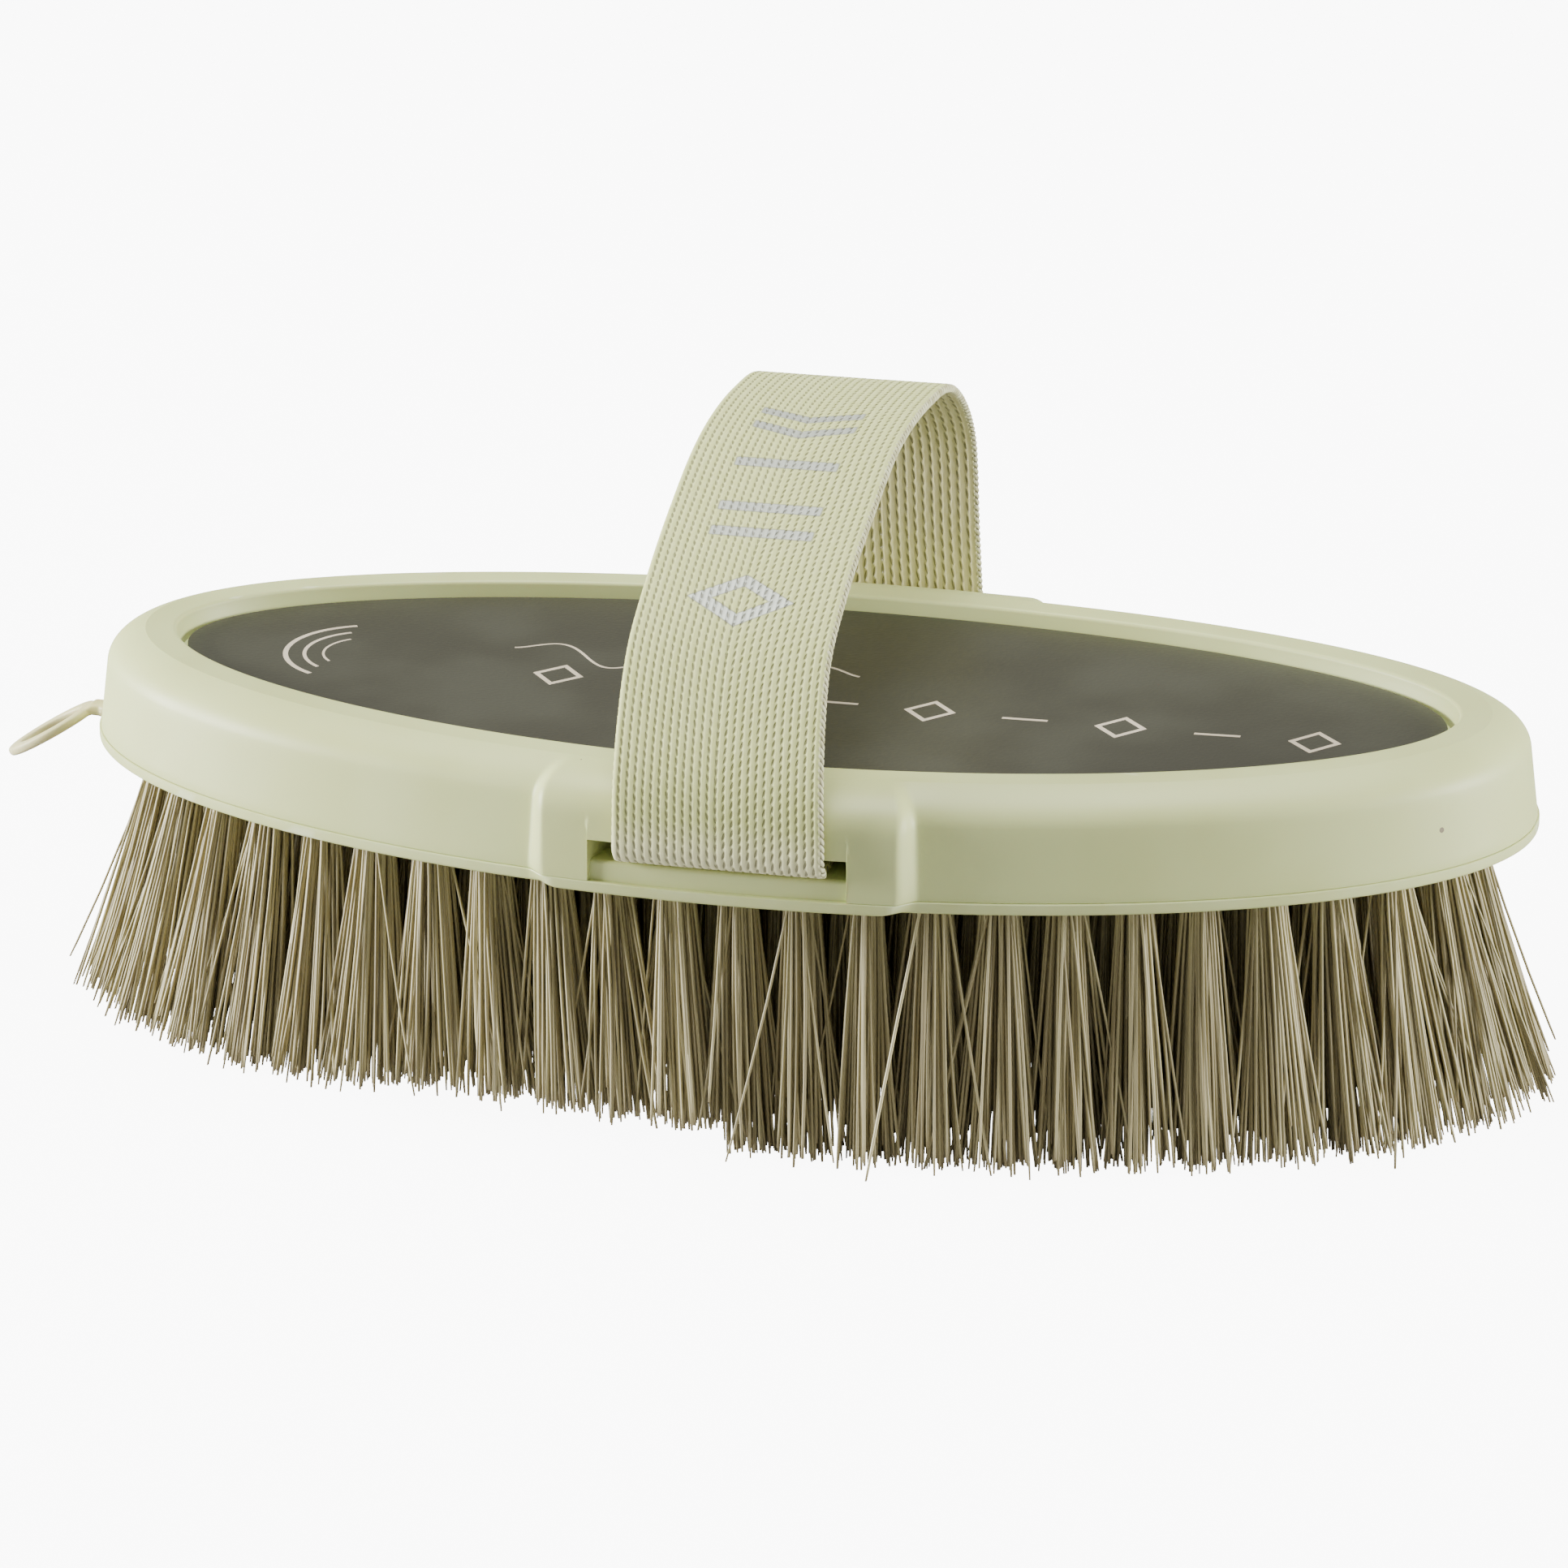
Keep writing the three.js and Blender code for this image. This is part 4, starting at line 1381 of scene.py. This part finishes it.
@dataclass
class Bristles:
    """Five rows of tufts, each tuft a fan of separate tapered bristles."""

    lines: BodyLines
    tuft_radius: float = 2.2 * MM
    pitch: float = 8.7 * MM
    row_inset: float = 10 * MM
    centre_room: float = 1.2414
    centre_end_room: float = 7.25 * MM
    splay: float = 10.6 * MM
    sweep: float = 6 * MM
    sweep_at: float = 30 * MM
    sweep_reach: float = 42 * MM
    groups: tuple = (12, 7, 6, 5)
    bristles: tuple = (96, 66, 46, 40)
    centre_bristles: int = 44
    radius: float = 0.2 * MM
    sides: int = 5
    rooted: float = 1.5 * MM
    fan_along: float = 0.55  # reach of the tips along the row, as a share of the pitch
    fan_across: float = 0.4  # and across it, as a share of the distance between rows
    stray_share: float = 0.09
    stray_reach: tuple = (4.6, 1.8)  # millimetres along and across the row
    loose_reach: tuple = (0.6, 0.6)
    ragged: float = 1.0 * MM
    short: float = 2.5 * MM
    short_share: float = 0.07
    trim_depth: float = 3.0 * MM
    bow: float = 0.5
    rng: np.random.Generator = field(default_factory=lambda: np.random.default_rng(SEED))

    @property
    def row_pitch(self) -> float:
        """Distance between rings of tufts."""
        return (self.lines.half_width - self.row_inset) / (len(self.groups) - 1 + self.centre_room)

    def ring(self, row: int) -> tuple:
        """Half length, half width and lean of a ring of tufts."""
        half_width = self.lines.half_width - self.row_inset - row * self.row_pitch
        half_length = self.lines.half_length - self.row_inset - row * self.row_pitch
        lean = self.splay * half_width / (self.lines.half_width - self.row_inset)
        return half_length, half_width, lean

    @staticmethod
    def oval(half_length: float, half_width: float, shares: np.ndarray) -> tuple:
        """Points and directions at shares of the way round an ellipse, and its length."""
        angle = np.linspace(0, 2 * np.pi, 1601)
        ring = np.stack([half_length * np.cos(angle), half_width * np.sin(angle)], 1)
        run = np.concatenate([[0], np.cumsum(np.linalg.norm(np.diff(ring, axis=0), axis=1))])
        at = np.interp(np.mod(shares, 1) * run[-1], run, angle)
        points = np.stack([half_length * np.cos(at), half_width * np.sin(at)], 1)
        ahead = np.stack([-half_length * np.sin(at), half_width * np.cos(at)], 1)
        return points, ahead / np.linalg.norm(ahead, axis=1, keepdims=True), run[-1]

    def row(self, row: int) -> list:
        """The groups of tufts of one ring, each a list of Tuft."""
        half_length, half_width, lean = self.ring(row)
        groups = self.groups[row]
        length = self.oval(half_length, half_width, np.zeros(1))[2]
        each = round(length / self.pitch / groups)
        count = groups * each
        roots, along, _ = self.oval(half_length, half_width, np.arange(count) / count)
        outward = np.stack([along[:, 1], -along[:, 0]], 1)
        tips = roots + outward * lean
        near = np.clip(-roots[:, 1] / half_width, 0, 1)
        away = (roots[:, 0] + self.sweep_at) / self.sweep_reach
        tips[:, 0] += self.sweep * near * np.exp(-(away**2))
        apart = np.linalg.norm(np.roll(tips, -1, 0) - np.roll(tips, 1, 0), axis=1) / 2
        spread = [(self.fan_along * gap, self.fan_across * self.row_pitch) for gap in apart]
        made = [
            Tuft(roots[i], tips[i], along[i], spread[i], self.bristles[row]) for i in range(count)
        ]
        return [made[i * each:(i + 1) * each] for i in range(groups)]

    def centre(self) -> list:
        """The tufts of the straight centre row."""
        half_length, half_width, _ = self.ring(len(self.groups) - 1)
        reach = half_length * math.sqrt(1 - (self.centre_end_room / half_width) ** 2)
        each = round(reach / self.pitch)
        spread = (0.5 * reach / each, 0.42 * self.row_pitch)
        along = np.array([1.0, 0.0])
        return [
            Tuft(along * x, along * x, along, spread, self.centre_bristles)
            for x in np.linspace(-reach, reach, 2 * each + 1)
        ]

    def trim(self, x: np.ndarray, y: np.ndarray) -> np.ndarray:
        """Height that the tips stop short: uneven cutting, most of it along the near side."""
        stretch = np.clip((x + 62 * MM) / (20 * MM), 0, 1) * (x < 1.5 * MM)
        near = np.clip(-y / (30 * MM), 0, 1) ** 2
        return self.trim_depth * stretch * near

    def strands(self, tuft: Tuft) -> tuple:
        """Paths of the bristles of one tuft.

        Args:
            tuft: the tuft.

        Returns:
            Points of each bristle from root to tip, and the tone of each.
        """
        rng, count = self.rng, tuft.bristles
        angle = rng.uniform(0, 2 * np.pi, count)
        out = np.sqrt(rng.uniform(0, 1, count))
        disc = np.stack([np.cos(angle) * out, np.sin(angle) * out], 1)
        axes = np.stack([tuft.along, [-tuft.along[1], tuft.along[0]]])
        root = tuft.root + disc * self.tuft_radius @ axes
        fan = disc * out[:, None] ** 0.3 * tuft.spread * rng.uniform(0.75, 1.35, (count, 1))
        stray = rng.uniform(0, 1, count) < self.stray_share
        wander = np.clip(rng.normal(0, 1, (count, 2)), -1.8, 1.8) * MM
        wander *= np.where(stray[:, None], self.stray_reach, self.loose_reach)
        tip = tuft.tip + (fan + wander) @ axes
        ragged = np.abs(rng.normal(0, 1, count)) * self.ragged
        ragged += self.short * (rng.uniform(0, 1, count) < self.short_share)
        tip_z = self.trim(tip[:, 0], tip[:, 1]) + ragged + 0.1 * MM
        root_z = self.lines.lift(root[:, 0], np.full(count, self.rooted))
        bow = rng.normal(0, self.bow, (count, 2)) * MM
        steps = np.array([0, 0.2, 0.45, 0.72, 0.94, 1.0])[None, :, None]
        start = np.concatenate([root, root_z[:, None]], 1)[:, None]
        end = np.concatenate([tip, tip_z[:, None]], 1)[:, None]
        middle = start * 0.56 + end * 0.44
        middle[:, 0, 2] = (start[:, 0, 2] + end[:, 0, 2]) / 2
        middle[:, 0, :2] += bow
        paths = start * (1 - steps) ** 2 + 2 * middle * steps * (1 - steps) + end * steps**2
        return paths, np.clip(rng.normal(0.5, 0.24, count), 0, 1)

    def group(self, name: str, tufts: list, node: str) -> None:
        """Builds the bristles of a group of tufts in place of their CAD node.

        Args:
            name: the piece's name.
            tufts: the tufts.
            node: the CAD node.
        """
        made = [self.strands(tuft) for tuft in tufts]
        paths = np.concatenate([paths for paths, _ in made])
        tone = np.concatenate([tone for _, tone in made])
        count, rings, sides = len(paths), paths.shape[1], self.sides
        turn = np.linspace(0, 2 * np.pi, sides, endpoint=False)
        thick = self.radius * np.array([1, 1, 1, 1, 0.94, 0.7])[None, :, None]
        thick = thick * self.rng.uniform(0.8, 1.2, (count, 1, 1))
        points = np.repeat(paths[:, :, None], sides, 2)
        points[..., 0] += thick * np.cos(turn)
        points[..., 1] += thick * np.sin(turn)
        per = rings * sides
        one = np.array(grid_faces(rings, sides, True))
        faces = (one[None] + np.arange(count)[:, None, None] * per).reshape(-1, 4).tolist()
        tips = np.arange(count)[:, None] * per + np.arange(per - sides, per)[None]
        faces += tips.tolist()
        piece = make_object(name, points, faces)
        set_values(piece, "tone", np.repeat(tone, per))
        set_values(piece, "along", np.tile(np.repeat(np.linspace(0, 1, rings), sides), count))
        piece.data.shade_smooth()
        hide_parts(node)
        dress(piece, BristleFibre())

    def build(self) -> None:
        """Builds every row, one piece for each CAD node."""
        for row in range(len(self.groups)):
            for i, tufts in enumerate(self.row(row)):
                label = f"row_{row + 1}_{i + 1:02d}"
                self.group(f"bristles_{label}", tufts, f"tufts_{label}")
        self.group("bristles_centre", self.centre(), "tufts_centre")


# ---------------------------------------------------------------- studio


@dataclass
class Studio:
    """Pale floor, soft lights and the camera."""

    azimuth: float = math.radians(13.973)
    elevation: float = math.radians(19.637)
    distance: float = 0.823436
    aim: tuple = (-0.002805, -0.009524, 0.0445)  # across, up the picture, and height of the aim
    lens: float = 139.18

    def camera(self) -> None:
        """Places the camera."""
        a, e = self.azimuth, self.elevation
        back = Vector((math.sin(a) * math.cos(e), -math.cos(a) * math.cos(e), math.sin(e)))
        right = Vector((math.cos(a), math.sin(a), 0))
        up = back.cross(right)
        across, upward, height = self.aim
        data = bpy.data.cameras.new("camera")
        data.lens, data.sensor_width = self.lens, 36
        data.clip_start, data.clip_end = 0.01, 20
        camera = bpy.data.objects.new("camera", data)
        place = Vector((0, 0, height)) + right * across + up * upward + back * self.distance
        turn = Matrix((right, up, back)).transposed().to_4x4()
        camera.matrix_world = Matrix.Translation(place) @ turn
        bpy.context.scene.collection.objects.link(camera)
        bpy.context.scene.camera = camera

    def light(self, name: str, place: tuple, size: float, power: float, colour: tuple) -> None:
        """Adds a square soft light that faces the middle of the brush."""
        data = bpy.data.lights.new(name, "AREA")
        data.size, data.energy, data.color = size, power, colour
        lamp = bpy.data.objects.new(name, data)
        lamp.location = place
        aim = Vector((0, 0, 0.05)) - Vector(place)
        lamp.rotation_mode = "QUATERNION"
        lamp.rotation_quaternion = aim.to_track_quat("-Z", "Y")
        bpy.context.scene.collection.objects.link(lamp)

    def floor(self) -> None:
        """Adds the floor, with a faint unevenness in its tone."""
        reach = 6.0
        corners = np.array([(-1, -1, 0), (1, -1, 0), (1, 1, 0), (-1, 1, 0)]) * reach
        floor = make_object("floor", corners - (0, 0, 0.05 * MM), [[0, 1, 2, 3]])
        floor.data.materials.append(PaperFloor().material())

    def build(self) -> None:
        """Builds the whole studio."""
        self.camera()
        self.floor()
        self.light("left", (-1.15, -0.20, 0.29), 0.45, 46, (1, 1, 1))
        self.light("right", (1.15, 0.07, 0.29), 0.45, 26, (1, 1, 1))
        self.light("top", (-0.1, 0.15, 1.3), 0.8, 21, (1, 1, 1))
        world = bpy.data.worlds.new("studio")
        world.use_nodes = True
        world.node_tree.nodes["Background"].inputs[0].default_value = (1, 1, 1, 1)
        world.node_tree.nodes["Background"].inputs[1].default_value = 0.25
        bpy.context.scene.world = world


def main() -> None:
    """Builds the studio and every piece of the brush."""
    logging.basicConfig(level=logging.INFO, format="%(name)s %(message)s")
    Studio().build()
    lines = BodyLines.from_frame()
    for part in (BackShell, BristlePlate, Inlay, HandStrap, HangingLoop, Bristles):
        part(lines).build()


if __name__ == "__main__":
    main()
